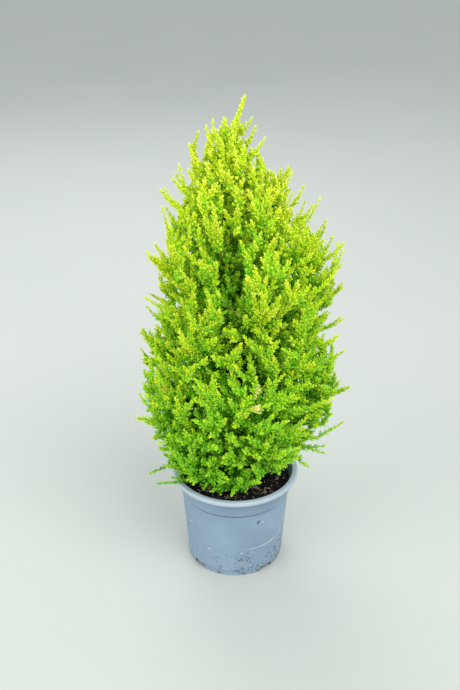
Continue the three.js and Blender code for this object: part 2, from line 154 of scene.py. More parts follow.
def opened(tangents: Array, turns: Array, angles: Array, lift: Array | float) -> Array:
    """Points away from a limb, to all sides of it, and a little up.

    Args:
        tangents: Where the limb points, one a row.
        turns: To which side each turns, in radians round the limb.
        angles: How far each opens from the limb, in degrees.
        lift: How much of straight up is added, one for all or one a row.

    Returns:
        Unit vectors.
    """
    radials = turned_about(square_to(tangents), tangents, turns)
    angles = np.radians(angles)[:, None]
    return unit(tangents * np.cos(angles) + radials * np.sin(angles) + UP * np.reshape(lift, (-1, 1)))


class Seeded:
    """The repeatable source of numbers between 0 and 1 that the solids were grown with."""

    WORD = 0xFFFFFFFF
    STEP = 0x6D2B79F5

    def __init__(self, seed: int) -> None:
        """Starts the source at a seed."""
        self.state = seed & self.WORD

    def __call__(self) -> float:
        """Returns the next number, mixed from the state by shifts and products of 32 bits."""
        self.state = (self.state + self.STEP) & self.WORD
        t = ((self.state ^ (self.state >> 15)) * (1 | self.state)) & self.WORD
        t = ((t + (((t ^ (t >> 7)) * (61 | t)) & self.WORD)) & self.WORD) ^ t
        return ((t ^ (t >> 14)) & self.WORD) / 2**32


def deselect_all() -> None:
    """Leaves object mode's selection empty."""
    if bpy.context.object and bpy.context.object.mode != "OBJECT":
        bpy.ops.object.mode_set(mode="OBJECT")
    bpy.ops.object.select_all(action="DESELECT")


def make_active(piece: Piece) -> None:
    """Makes a piece the only selected one and the active one.

    Args:
        piece: The piece.
    """
    deselect_all()
    piece.select_set(True)
    bpy.context.view_layer.objects.active = piece


def placed(name: str, data: bpy.types.ID) -> Piece:
    """Puts a mesh, a light or a camera into the scene.

    Args:
        name: The object's name.
        data: What it shows.

    Returns:
        The object, at the origin.
    """
    piece = bpy.data.objects.new(name, data)
    bpy.context.scene.collection.objects.link(piece)
    return piece


def mesh_piece(name: str, points: Array, triangles: Array, smooth: bool = True) -> Piece:
    """Makes an object from arrays.

    Args:
        name: The object's name.
        points: Corners in millimetres, one a row.
        triangles: Three corner numbers a row.
        smooth: Whether faces are shaded smooth.

    Returns:
        The object, at the origin.
    """
    mesh = bpy.data.meshes.new(name)
    mesh.vertices.add(len(points))
    mesh.vertices.foreach_set("co", (points * MM).astype(np.float32).ravel())
    mesh.loops.add(triangles.size)
    mesh.loops.foreach_set("vertex_index", triangles.astype(np.int32).ravel())
    mesh.polygons.add(len(triangles))
    mesh.polygons.foreach_set("loop_start", np.arange(0, triangles.size, 3, dtype=np.int32))
    mesh.update(calc_edges=True)
    mesh.polygons.foreach_set("use_smooth", np.full(len(triangles), smooth))
    mesh.validate()
    return placed(name, mesh)


def spun_piece(name: str, profile: list[Pair], segments: int) -> Piece:
    """Spins a profile round the Z axis into a closed shape.

    Args:
        name: The object's name.
        profile: Radius and height in millimetres, from the axis round to the axis.
        segments: Steps in a full turn.

    Returns:
        The object, with its faces pointing out.
    """
    mesh = bpy.data.meshes.new(name)
    corners = [(r * MM, 0, z * MM) for r, z in profile]
    mesh.from_pydata(corners, [(i, i + 1) for i in range(len(corners) - 1)], [])
    piece = placed(name, mesh)
    make_active(piece)
    bpy.ops.object.mode_set(mode="EDIT")
    bpy.ops.mesh.select_all(action="SELECT")
    bpy.ops.mesh.spin(steps=segments, angle=FULL_TURN, center=(0, 0, 0), axis=(0, 0, 1))
    bpy.ops.mesh.select_all(action="SELECT")
    bpy.ops.mesh.remove_doubles(threshold=WELD * MM)
    bpy.ops.mesh.normals_make_consistent(inside=False)
    bpy.ops.object.mode_set(mode="OBJECT")
    return piece


def arc(centre: Pair, radius: float, start: float, end: float, steps: int) -> list[Pair]:
    """Returns points on an arc of a profile.

    Args:
        centre: Radius and height of the arc's centre.
        radius: The arc's own radius.
        start: Where it starts, in degrees from outwards towards up.
        end: Where it ends.
        steps: How many stretches it has.

    Returns:
        Its points in order.
    """
    turns = np.radians(np.linspace(start, end, steps + 1))
    return [(centre[0] + radius * math.cos(t), centre[1] + radius * math.sin(t)) for t in turns]


def hand_over(piece: Piece, material: Material, nodes: tuple[str, ...] = ()) -> None:
    """Gives a finished piece its material and its place in the frame.

    Args:
        piece: The piece.
        material: Its material.
        nodes: The CAD nodes that it stands for.
    """
    piece.data.materials.clear()
    piece.data.materials.append(material)
    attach(piece, BODY)
    if nodes:
        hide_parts(*nodes)
    LOG.info("%s: %d faces", piece.name, len(piece.data.polygons))


# ------------------------------------------------------------------------------ finishes


@dataclass(frozen=True)
class Grain:
    """A noise pattern, of which the values from low to high are stretched onto a new range."""

    scale: float  # cells in a metre
    detail: float
    low: float
    high: float
    to_low: float = 0.0
    to_high: float = 1.0


class Graph:
    """A node material while it is put together."""

    SPOT_EDGE = (0.8, 1.1)

    def __init__(self, name: str) -> None:
        """Starts a material with a Principled shader and nothing else.

        Args:
            name: The material's name.
        """
        self.material = bpy.data.materials.new(name)
        self.material.use_nodes = True
        self.nodes = self.material.node_tree.nodes
        self.shader = self.nodes["Principled BSDF"]
        self.place = self.nodes.new("ShaderNodeTexCoord").outputs["Object"]

    def give(self, target: Socket, value: object) -> None:
        """Gives an input what it takes.

        Args:
            target: The input.
            value: An output to join to it, or a constant.
        """
        if isinstance(value, Socket):
            self.material.node_tree.links.new(value, target)
        else:
            target.default_value = value

    def add(self, kind: str, inputs: dict, output: str | int = 0, **settings: str) -> Socket:
        """Adds a node.

        Args:
            kind: The last part of its type's name.
            inputs: What its inputs take, by name or number.
            output: The output that is wanted, by name or number.
            settings: The node's own settings.

        Returns:
            That output.
        """
        node = self.nodes.new("ShaderNode" + kind)
        for name, value in settings.items():
            setattr(node, name, value)
        for name, value in inputs.items():
            self.give(node.inputs[name], value)
        return node.outputs[output]

    def finished(self, inputs: dict[str, object]) -> Material:
        """Gives the shader's inputs what they take.

        Args:
            inputs: Outputs and constants by the input's name.

        Returns:
            The finished material.
        """
        for name, value in inputs.items():
            self.give(self.shader.inputs[name], value)
        return self.material

    def stretched(self, scale: Triple) -> Socket:
        """Returns the object coordinates, scaled along each axis."""
        return self.add("Mapping", {"Vector": self.place, "Scale": scale})

    def noise(self, scale: float, detail: float, vector: Socket | None = None) -> Socket:
        """Returns a noise pattern, with so many cells in a metre and so many octaves."""
        inputs = {"Vector": vector or self.place, "Scale": scale, "Detail": detail}
        return self.add("TexNoise", inputs, "Fac")

    def band(self, value: Socket, low: float, high: float, to_low: float = 0, to_high: float = 1) -> Socket:
        """Stretches the values from low to high onto another range, cut off at both ends."""
        inputs = {"Value": value, "From Min": low, "From Max": high, "To Min": to_low, "To Max": to_high}
        return self.add("MapRange", inputs, "Result")

    def grain(self, grain: Grain) -> Socket:
        """Returns a noise pattern with its band stretched."""
        pattern = self.noise(grain.scale, grain.detail)
        return self.band(pattern, grain.low, grain.high, grain.to_low, grain.to_high)

    def rise(self, length: Socket, low: float, high: float) -> Socket:
        """Returns 0 up to a length in millimetres and 1 from another one on."""
        return self.band(length, low * MM, high * MM)

    def fall(self, length: Socket, low: float, high: float) -> Socket:
        """Returns 1 up to a length in millimetres and 0 from another one on."""
        return self.band(length, low * MM, high * MM, 1, 0)

    def math(self, operation: str, *values: Socket | float) -> Socket:
        """Returns the result of an operation on sockets and numbers."""
        return self.add("Math", dict(enumerate(values)), operation=operation)

    def times(self, *values: Socket) -> Socket:
        """Returns the product of two values or more."""
        return reduce(lambda product, value: self.math("MULTIPLY", product, value), values)

    def spot(self, place: Triple, size: Triple, tilt: float = 0.0) -> Socket:
        """Marks an egg-shaped spot.

        Args:
            place: Its middle in millimetres.
            size: Its half sizes in millimetres.
            tilt: How far it leans to the right, in degrees.

        Returns:
            A socket that is 1 inside the spot and 0 outside.
        """
        inputs = {
            "Vector": self.place,
            "Location": tuple(value * MM for value in place),
            "Rotation": (0, math.radians(tilt), 0),
            "Scale": tuple(value * MM for value in size),
        }
        off = self.add("Mapping", inputs, vector_type="TEXTURE")
        length = self.add("VectorMath", {0: off}, "Value", operation="LENGTH")
        return self.band(length, *self.SPOT_EDGE, 1, 0)

    def axis(self, name: str) -> Socket:
        """Returns one of the object coordinates, X, Y or Z."""
        return self.add("SeparateXYZ", {0: self.place}, name)

    def mix(self, factor: Socket, low: object, high: object) -> Socket:
        """Returns the mix of two colours, each a constant or a socket."""
        return self.add("Mix", {"Factor": factor, 6: low, 7: high}, 2, data_type="RGBA")

    def bump(self, height: Socket, distance: float, strength: float = 1) -> Socket:
        """Returns the normal that shows a height pattern as relief, so many millimetres deep."""
        inputs = {"Height": height, "Distance": distance * MM, "Strength": strength}
        return self.add("Bump", inputs, "Normal")


@dataclass(frozen=True)
class PotPlastic:
    """Grey-blue moulded plastic, scuffed, and specked with soil low down; a painted highlight lies on the
    rim, and painted shade under the collar's step, inside the foot's hollow and on the left side.
    """

    wall: Colour = (135, 157, 176)
    # darker tone: painted shade on the pot's left side, and a random cloudy tone elsewhere
    shaded: Colour = (123, 145, 163)
    # painted highlight: the rim is painted lighter where it catches the light
    rim: Colour = (170, 182, 193)
    soil: Colour = (54, 62, 68)
    chalk: Colour = (214, 221, 226)
    # painted shade: the dark line under the collar's step, where shade falls
    step_shade: Colour = (66, 86, 100)
    # dark colour: a dark spot at the nick, and painted shade inside the foot's hollow and notches
    dark_nick_and_hollow_shade: Colour = (28, 31, 34)
    # painted shade: the wall is painted darker towards its left side, between these places across
    left: Pair = (-55.0, -5.0)
    # heights over which the rim's painted highlight lies
    rim_heights: Pair = (105.5, 108.5)
    # heights and least radius of the painted shade line under the step
    step_shade_heights: Pair = (86.4, 87.7)
    step_shade_radii: Pair = (59.2, 59.7)
    # painted shade inside the foot's hollow: below these heights and inside these radii
    foot_shade_heights: Pair = (4.8, 5.2)
    foot_shade_radii: Pair = (51.8, 52.2)
    edge: float = 0.3
    dirty_heights: Pair = (23.1, 42.0)
    dirty_side: Pair = (-35.0, 30.0)
    least_dirt: float = 0.2
    scuff_height: float = 38.5
    scuff_rise: float = 3.9
    scuff_edge: Pair = (0.3, 0.6)
    scuff_start: Pair = (0.14, 0.44)  # radians round the pot
    scuff_end: Pair = (1.45, 1.55)
    nick: Triple = (25.0, -55.0, 75.0)
    nick_size: Triple = (1.1, 4.0, 2.9)
    nick_tilt: float = 28.0
    chips: tuple[Triple, ...] = ((-29, -48.5, 34.5), (7, -56.5, 34), (30, -53, 73.5), (-49, -32, 60))
    chip_size: Triple = (0.9, 4.0, 0.9)
    cloud: Grain = Grain(22, 4, 0.35, 0.7)
    worn: Grain = Grain(160, 2, 0.35, 0.5, 0.25, 0.95)
    dirt: Grain = Grain(55, 2, 0.4, 0.52)
    specks: Grain = Grain(340, 1, 0.57, 0.63, 0, 0.95)
    dust: Grain = Grain(610, 1, 0.66, 0.72, 0, 0.7)
    gloss: Grain = Grain(40, 3, 0.3, 0.7, 0.4, 0.58)
    specular: float = 0.45
    grit_scale: float = 500.0
    grit_depth: float = 0.05
    grit_strength: float = 0.5

    def step_shade_line(self, graph: Graph, radius: Socket) -> Socket:
        """Marks the painted shade line under the collar's step.

        Args:
            graph: The material.
            radius: The distance from the pot's axis.

        Returns:
            A socket that is 1 on the painted shade line and 0 away from it.
        """
        height = graph.axis("Z")
        low, high = self.step_shade_heights
        above = graph.rise(height, low - self.edge, low)
        below = graph.fall(height, high, high + self.edge)
        return graph.times(above, below, graph.rise(radius, *self.step_shade_radii))

    def scuff(self, graph: Graph) -> Socket:
        """Draws the long scratch that climbs round the pot's right side.

        Args:
            graph: The material.

        Returns:
            A socket with the scratch's strength.
        """
        turn = graph.math("ARCTAN2", graph.axis("X"), graph.math("MULTIPLY", graph.axis("Y"), -1.0))
        climb = graph.math("MULTIPLY", graph.times(turn, turn, turn, turn), self.scuff_rise * MM)
        off = graph.math("SUBTRACT", graph.axis("Z"), graph.math("ADD", climb, self.scuff_height * MM))
        line = graph.fall(graph.math("ABSOLUTE", off), *self.scuff_edge)
        along = graph.times(graph.band(turn, *self.scuff_start), graph.band(turn, *self.scuff_end, 1, 0))
        return graph.times(line, along, graph.grain(self.worn))

    def material(self) -> Material:
        """Returns the finish as a node material: one layer of colour over another."""
        graph = Graph("pot_plastic")
        squares = [graph.times(graph.axis(name), graph.axis(name)) for name in "XY"]
        radius = graph.math("SQRT", graph.math("ADD", *squares))
        low = graph.fall(graph.axis("Z"), *self.dirty_heights)
        first, last = self.dirty_side
        side = graph.band(graph.axis("X"), first * MM, last * MM, self.least_dirt, 1)
        zone = graph.times(low, side, graph.grain(self.dirt))
        # painted shade inside the foot's hollow and notches
        foot_hollow_shade = graph.fall(radius, *self.foot_shade_radii)
        # painted shade: the wall darkens towards the pot's left side
        left = graph.fall(graph.axis("X"), *self.left)
        # the darker tone is painted shade on the left, mixed with a random cloudy tone
        uneven = graph.math("MAXIMUM", left, graph.grain(self.cloud))
        colour = graph.mix(uneven, linear(self.wall), linear(self.shaded))
        layers = [
            # painted highlight on the rim
            (graph.rise(graph.axis("Z"), *self.rim_heights), self.rim),
            # painted shade under the collar's step
            (self.step_shade_line(graph, radius), self.step_shade),
            (graph.times(zone, graph.grain(self.specks)), self.soil),
            (graph.times(zone, graph.grain(self.dust)), self.chalk),
            (self.scuff(graph), self.chalk),
            *[(graph.spot(place, self.chip_size), self.chalk) for place in self.chips],
            (graph.spot(self.nick, self.nick_size, self.nick_tilt), self.dark_nick_and_hollow_shade),
            # painted shade inside the foot's hollow and notches
            (graph.times(foot_hollow_shade, graph.fall(graph.axis("Z"), *self.foot_shade_heights)), self.dark_nick_and_hollow_shade),
        ]
        for mask, tone in layers:
            colour = graph.mix(mask, colour, linear(tone))
        grit = graph.noise(self.grit_scale, 2)
        return graph.finished(
            {
                "Base Color": colour,
                "Roughness": graph.grain(self.gloss),
                "Specular IOR Level": self.specular,
                "Normal": graph.bump(grit, self.grit_depth, self.grit_strength),
            }
        )


@dataclass(frozen=True)
class Earthy:
    """A rough natural stuff in two mottled colours, such as compost, bark chips or grit."""

    name: str
    dark: Colour
    light: Colour
    grain: float = 300.0
    stretch: Triple = (1.0, 1.0, 1.0)
    relief: float = 0.4
    roughness: float = 0.95
    detail: float = 5.0
    mottle: Pair = (0.38, 0.64)
    specular: float = 0.25

    def material(self) -> Material:
        """Returns the finish as a node material."""
        graph = Graph(self.name)
        pattern = graph.noise(self.grain, self.detail, graph.stretched(self.stretch))
        colour = graph.mix(graph.band(pattern, *self.mottle), linear(self.dark), linear(self.light))
        return graph.finished(
            {
                "Base Color": colour,
                "Roughness": self.roughness,
                "Specular IOR Level": self.specular,
                "Normal": graph.bump(pattern, self.relief),
            }
        )


COMPOST = Earthy("compost", (12, 11, 12), (30, 27, 27), grain=420.0)
CHIPS = Earthy("bark_chips", (20, 17, 17), (62, 52, 48), grain=260.0, stretch=(1.0, 3.0, 1.0))
FIBRES = Earthy("fibres", (138, 116, 94), (222, 204, 178), roughness=0.9)
GRIT = Earthy("white_grit", (176, 170, 158), (222, 219, 210), grain=700.0, relief=0.2)
BARK = Earthy("bark", (74, 44, 28), (140, 92, 62), grain=330.0, stretch=(1.0, 1.0, 0.16), relief=0.5)
TWIG_BARK = Earthy("twig_bark", (96, 84, 34), (148, 118, 58), 420.0, (1.0, 1.0, 0.3), 0.15)


LEAF_SPECULAR = 0.16
LEAF_GLOSS = Grain(400, 1, 0.3, 0.7, 0.5, 0.72)


class Tint(Enum):
    """The plain leaf colours that sprays are dealt, from the crown's inside to its palest tips.

    The last two are those of single marks.
    """

    SHADE = (60, 128, 6)
    DEEP = (98, 176, 18)
    LEAF = (134, 205, 38)
    LIME = (157, 213, 50)
    YELLOW_LIME = (180, 220, 38)
    LEMON = (203, 221, 38)
    PALE = (214, 227, 70)
    STRAW = (222, 182, 78)
    CREAM = (232, 226, 132)

    @property
    def piece_name(self) -> str:
        """The start of the names of this tint's pieces."""
        return "leaves_" + self.name.lower()

    @property
    def slot(self) -> str:
        """The slot that this tint is nearest to."""
        if self in (Tint.SHADE, Tint.DEEP, Tint.LEAF):
            return "foliage_low"
        return "foliage_middle" if self in (Tint.LIME, Tint.YELLOW_LIME) else "foliage_top"

    def material(self) -> Material:
        """Returns the tint as a material with a plain colour and finely uneven gloss."""
        graph = Graph(self.piece_name)
        gloss = graph.grain(LEAF_GLOSS)
        return graph.finished(
            {"Base Color": linear(self.value), "Specular IOR Level": LEAF_SPECULAR, "Roughness": gloss}
        )


# ------------------------------------------------------------------------------ the pot


@dataclass
class NurseryPot:
    """The round pot: a rolled lip, a collar, a tapering wall and a notched foot ring.

    A notch is given by its width and height. The blocks that cut the notches reach below the
    foot, and the first one stands one and a half steps round from the front. The nick between
    foot and wall is given by its heights above the foot, the collar's end and the fillet over it
    by their places from where the collar's top meets the lip.
    """

    segments: int = 144
    lip_width: float = 6.5
    lip_depth: float = 5.4
    lip_round: float = 1.6
    lip_fillet: float = 0.8
    lip_fillet_middle: Pair = (0.6, -1.0)
    collar_top: float = 62.4
    collar_end: Pair = (-0.2, -1.6)
    collar_foot: float = 61.4
    collar_round: float = 0.4
    step_height: float = 88.0
    step_depth: float = 1.4
    step_round: float = 0.3
    step_half: float = 0.5
    wall_foot: float = 54.2
    wall_foot_height: float = 9.0
    wall_middle: float = 48.0
    wall_round: float = 1.6
    wall_start: float = 2.4
    wall: float = 1.2
    foot_height: float = 5.4
    foot_outer: float = 52.8
    foot_inner: float = 49.6
    foot_round: float = 0.5
    foot_draft: float = 0.4
    foot_flare: float = 0.2
    nick: Triple = (-0.3, 0.1, 0.6)
    channel_inner: float = 46.5
    channel_height: float = 2.6
    floor: float = 1.4
    floor_round: float = 2.0
    notches: int = 12
    wide_every: int = 3
    wide_notch: Pair = (16.4, 4.7)
    small_notch: Pair = (4.6, 3.0)
    notch_turn: float = -4.7
    first_notch: float = 1.5
    block_depth: float = 7.0
    block_inset: float = 1.5
    block_below: float = 1.0
    smooth_up_to: float = 35.0
    height: float = field(init=False)
    lip_outer: float = field(init=False)

    def __post_init__(self) -> None:
        """Takes the height and the lip's width from the frame."""
        low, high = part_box("pot")
        self.height = high.z / MM
        self.lip_outer = (high.x - low.x) / 2 / MM

    @property
    def inner_floor(self) -> float:
        """The height of the floor's upper side."""
        return self.channel_height + self.floor

    def wall_radius(self, height: float) -> float:
        """Returns the outer radius of the wall at a height between its foot and the step."""
        share = (height - self.wall_foot_height) / (self.step_height - self.wall_foot_height)
        return self.wall_foot + (self.collar_foot - self.step_depth - self.wall_foot) * share

    def foot_profile(self) -> list[Pair]:
        """Returns the section from the middle of the underside out and up to the wall's foot."""
        foot, top, bend, turn = self.foot_outer, self.foot_height, self.foot_round, self.wall_round
        low, middle, high = (top + height for height in self.nick)
        return [
            (0, 0),
            (self.channel_inner - 1, 0),
            (self.channel_inner, self.channel_height),
            (self.foot_inner, self.channel_height),
            (self.foot_inner + self.foot_draft, 0),
            *arc((foot - bend, bend), bend, -90, 0, 3),
            (foot + self.foot_flare, low),
            (foot - bend, middle),
            (foot - bend, high),
            *arc((self.wall_foot - turn, top + self.wall_start), turn, -70, 0, 4),
            (self.wall_foot, self.wall_foot_height),
        ]

    def profile(self) -> list[Pair]:
        """Returns the pot's section, from the middle of its underside round to its floor."""
        lip_foot = self.height - self.lip_depth
        turn = self.lip_round
        outer, inner = self.lip_outer - turn, self.lip_outer - self.lip_width + turn
        step, step_out = self.step_height, self.wall_radius(self.step_height)
        offsets = (self.collar_end, self.lip_fillet_middle)
        end, fillet = ((self.collar_top + x, lip_foot + z) for x, z in offsets)
        shoulder = (self.collar_foot - self.collar_round, step + self.step_half)
        return [
            *self.foot_profile(),
            (self.wall_radius(self.wall_middle), self.wall_middle),
            (step_out, step - self.step_half),
            *arc((step_out + self.step_round, step - self.step_round), self.step_round, 180, 90, 2),
            *arc(shoulder, self.collar_round, -60, 0, 2),
            end,
            *arc(fillet, self.lip_fillet, 180, 90, 3),
            *arc((outer, lip_foot + turn), turn, -90, 0, 5),
            *arc((outer, self.height - turn), turn, 0, 90, 5),
            *arc((inner, self.height - turn), turn, 90, 180, 5),
            (self.collar_top - self.wall, lip_foot - 2),
            (step_out - self.wall, step - 1),
            (self.wall_foot - self.wall, self.wall_foot_height),
            (self.wall_foot - self.wall - self.floor_round, self.inner_floor),
            (0, self.inner_floor),
        ]

    def notch_cutters(self) -> Piece:
        """Returns one object that holds the blocks which the foot's notches are cut with."""
        blocks = []
        reach = (self.foot_outer - self.block_inset) * MM
        for index in range(self.notches):
            width, height = self.wide_notch if index % self.wide_every == 0 else self.small_notch
            turn = math.radians(self.notch_turn) + (index + self.first_notch) * FULL_TURN / self.notches
            middle = (height - self.block_below) / 2 * MM
            deselect_all()
            bpy.ops.mesh.primitive_cube_add(
                size=1,
                location=(reach * math.sin(turn), -reach * math.cos(turn), middle),
                rotation=(0, 0, turn),
                scale=(width * MM, self.block_depth * MM, (height + self.block_below) * MM),
            )
            blocks.append(bpy.context.object)
        for block in blocks:
            block.select_set(True)
        bpy.context.view_layer.objects.active = blocks[0]
        bpy.ops.object.join()
        bpy.ops.object.transform_apply(location=True, rotation=True, scale=True)
        return bpy.context.object

    def build(self) -> None:
        """Spins the pot, cuts its notches and hands it over."""
        pot = spun_piece("nursery_pot", self.profile(), self.segments)
        cutters = self.notch_cutters()
        make_active(pot)
        cut = pot.modifiers.new("notches", "BOOLEAN")
        cut.operation = "DIFFERENCE"
        cut.solver = "EXACT"
        cut.object = cutters
        bpy.ops.object.modifier_apply(modifier=cut.name)
        bpy.data.objects.remove(cutters, do_unlink=True)
        bpy.ops.object.shade_smooth_by_angle(angle=math.radians(self.smooth_up_to))
        hand_over(pot, PotPlastic().material(), ("pot",))


# ------------------------------------------------------------------------------ the compost


@dataclass
class Compost:
    """The bed of compost and the crumbs, chips, fibres and grit that lie on it.

    Each wave that raises the bed into lumps has a fineness, a place in the noise and a strength.
    Crumbs, chips and grit have a range of lengths, and ranges of what their other sizes are as
    shares of the length.
    """

    pot: NurseryPot
    segments: int = 120
    rings: int = 34
    below_stem: float = 0.3
    gap: float = 0.35
    floor_gap: float = 0.3
    edge_gap: float = 0.9
    edge_lean: float = 0.1
    edge_depth: float = 4.0
    settled: float = 0.8
    lumps: float = 2.0
    waves: tuple[Triple, ...] = ((0.045, 2.0, 0.9), (0.21, 7.0, 0.35), (0.7, 5.0, 0.18))
    crumbs: int = 2600
    crumb_lengths: Pair = (0.8, 3.4)
    crumb_shares: Pair = (0.6, 1.0)
    chips: int = 230
    chip_lengths: Pair = (3.0, 9.0)
    chip_widths: Pair = (0.25, 0.6)
    chip_heights: Pair = (0.12, 0.3)
    chip_bevel: float = 0.14
    grit: int = 120
    grit_lengths: Pair = (0.9, 2.4)
    grit_shares: Pair = (0.7, 1.0)
    sunk: Triple = (0.3, 0.25, 0.2)
    tumble: Triple = (3.0, 0.35, 0.35)
    unevenness: float = 0.16
    fibres: int = 110
    fibre_lengths: Pair = (4.0, 17.0)
    fibre_widths: Pair = (0.2, 0.6)
    fibre_points: int = 6
    fibre_sides: int = 4
    fibre_lift: float = 1.2
    fibre_arch: float = 1.6
    fibre_bend: float = 0.25
    fibre_edge: Pair = (3.0, 0.5)
    seed: int = 11
    top: float = field(init=False)
    edge: float = field(init=False)

    def __post_init__(self) -> None:
        """Takes the compost's height from where the stem is cut."""
        self.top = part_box("trunk")[0].z / MM - self.below_stem
        self.edge = self.pot.collar_foot - self.pot.wall - self.edge_gap
        self.random = np.random.default_rng(self.seed)

    def surface(self, x: float, y: float) -> float:
        """Works out how high the lumpy bed is at a place.

        Args:
            x: The place across, in millimetres.
            y: The place in depth.

        Returns:
            A height in millimetres.
        """
        waves = (share * noise.noise(Vector((x * fine, y * fine, at))) for fine, at, share in self.waves)
        return self.top - self.settled + self.lumps * sum(waves)

    def bed(self) -> None:
        """Spins the bed and raises its surface into lumps."""
        pot = self.pot
        side = pot.wall + self.gap
        bottom = pot.inner_floor + self.floor_gap
        profile = [
            (0, bottom),
            (pot.wall_foot - side - pot.floor_round, bottom),
            (pot.wall_foot - side, pot.wall_foot_height),
            (pot.wall_radius(pot.step_height) - side, pot.step_height - 1),
            (self.edge - self.edge_lean, self.top - self.edge_depth),
            *[(radius, self.top) for radius in np.linspace(self.edge, 0, self.rings)],
        ]
        bed = spun_piece("compost_bed", profile, self.segments)
        for vertex in bed.data.vertices:
            if vertex.co.z > (self.top - 1) * MM:
                vertex.co.z = self.surface(vertex.co.x / MM, vertex.co.y / MM) * MM
        make_active(bed)
        bpy.ops.object.shade_smooth()
        hand_over(bed, COMPOST.material(), ("compost",))

    def on_disc(self, radius: Array, count: int | None = None) -> tuple[Array, Array]:
        """Draws places spread evenly over a round bed.

        Args:
            radius: How far out each may lie.
            count: How many there are, or none for one alone.

        Returns:
            Their places across and in depth.
        """
        radius = radius * np.sqrt(self.random.random(count))
        turn = self.random.random(count) * FULL_TURN
        return radius * np.cos(turn), radius * np.sin(turn)

    def scatter(self, name: str, template: tuple[Array, Array], sizes: Array, sunk: float) -> Piece:
        """Strews copies of a small shape over the bed.

        Args:
            name: The piece's name.
            template: Corners of a shape about one across, and its triangles.
            sizes: Length, width and height of each copy, one a row.
            sunk: Share of its height by which a copy lies in the bed.

        Returns:
            The piece.
        """
        corners, triangles = template
        places = self.on_disc(self.edge - sizes.max(1) / 2, len(sizes))
        copies = []
        for x, y, size in zip(*places, sizes):
            yaw, tilt, roll = self.random.normal(0, self.tumble)
            jitter = 1 + self.random.normal(0, self.unevenness, corners.shape)
            shape = corners * jitter * size
            for axis, angle in zip(np.eye(3), (roll, tilt, yaw)):
                shape = turned_about(shape, np.broadcast_to(axis, shape.shape), angle)
            copies.append(shape + (x, y, self.surface(x, y) + size[2] * (0.5 - sunk)))
        faces = triangles[None] + np.arange(len(sizes))[:, None, None] * len(corners)
        return mesh_piece(name, np.concatenate(copies), faces.reshape(-1, 3), smooth=False)

    def lump(self) -> tuple[Array, Array]:
        """Returns a twenty-faced lump one across."""
        deselect_all()
        bpy.ops.mesh.primitive_ico_sphere_add(subdivisions=1, radius=0.5)
        return self.taken()

    def slab(self) -> tuple[Array, Array]:
        """Returns a slab with its edges cut off, one across."""
        deselect_all()
        bpy.ops.mesh.primitive_cube_add(size=1)
        bpy.ops.object.mode_set(mode="EDIT")
        bpy.ops.mesh.select_all(action="SELECT")
        bpy.ops.mesh.bevel(offset=self.chip_bevel, segments=1, affect="EDGES")
        bpy.ops.object.mode_set(mode="OBJECT")
        return self.taken()

    @staticmethod
    def taken() -> tuple[Array, Array]:
        """Returns the active object's corners and triangles, and removes the object."""
        shape = bpy.context.object
        shape.data.calc_loop_triangles()
        corners = np.array([v.co for v in shape.data.vertices])
        triangles = np.array([t.vertices for t in shape.data.loop_triangles])
        bpy.data.objects.remove(shape, do_unlink=True)
        return corners, triangles

    def fibre_piece(self) -> Piece:
        """Lays thin bent fibres on the bed, and returns them as one piece."""
        tubes = Tubes()
        inset, least = self.fibre_edge
        last = self.fibre_points - 1
        for _ in range(self.fibres):
            x, y = self.on_disc(self.edge - inset)
            heading = self.random.random() * FULL_TURN
            stride = self.random.uniform(*self.fibre_lengths) / last
            path = []
            for number in range(self.fibre_points):
                rise = self.fibre_arch * math.sin(number / last * math.pi) * self.random.random()
                path.append((x, y, self.surface(x, y) + (self.fibre_lift + rise)))
                heading += self.random.normal(0, self.fibre_bend)
                x += stride * math.cos(heading)
                y += stride * math.sin(heading)
                over = max(1.0, math.hypot(x, y) / (self.edge - least))
                x, y = x / over, y / over
            width = self.random.uniform(*self.fibre_widths)
            radii = np.linspace(width, width / 2, self.fibre_points)
            tubes.add(np.array(path), radii, self.fibre_sides)
        return tubes.piece("compost_fibres")

    def lumps_of(self, count: int, lengths: Pair, shares: Pair) -> Array:
        """Draws the sizes of lumps.

        Args:
            count: How many there are.
            lengths: The range of their lengths.
            shares: The range of each size as a share of the length.

        Returns:
            Three sizes a row.
        """
        return self.random.uniform(*lengths, (count, 1)) * self.random.uniform(*shares, (count, 3))

    def build(self) -> None:
        """Makes the bed and all that lies on it."""
        self.bed()
        crumb, chip, bit = self.sunk
        sizes = self.lumps_of(self.crumbs, self.crumb_lengths, self.crumb_shares)
        crumbs = self.scatter("compost_crumbs", self.lump(), sizes, crumb)
        hand_over(crumbs, COMPOST.material())
        sizes = np.repeat(self.random.uniform(*self.chip_lengths, (self.chips, 1)), 3, 1)
        sizes[:, 1] *= self.random.uniform(*self.chip_widths, self.chips)
        sizes[:, 2] *= self.random.uniform(*self.chip_heights, self.chips)
        hand_over(self.scatter("bark_chips", self.slab(), sizes, chip), CHIPS.material())
        sizes = self.lumps_of(self.grit, self.grit_lengths, self.grit_shares)
        hand_over(self.scatter("white_grit", self.lump(), sizes, bit), GRIT.material())
        hand_over(self.fibre_piece(), FIBRES.material())


# ------------------------------------------------------------------------------ limbs

CURVE_POINTS = 80


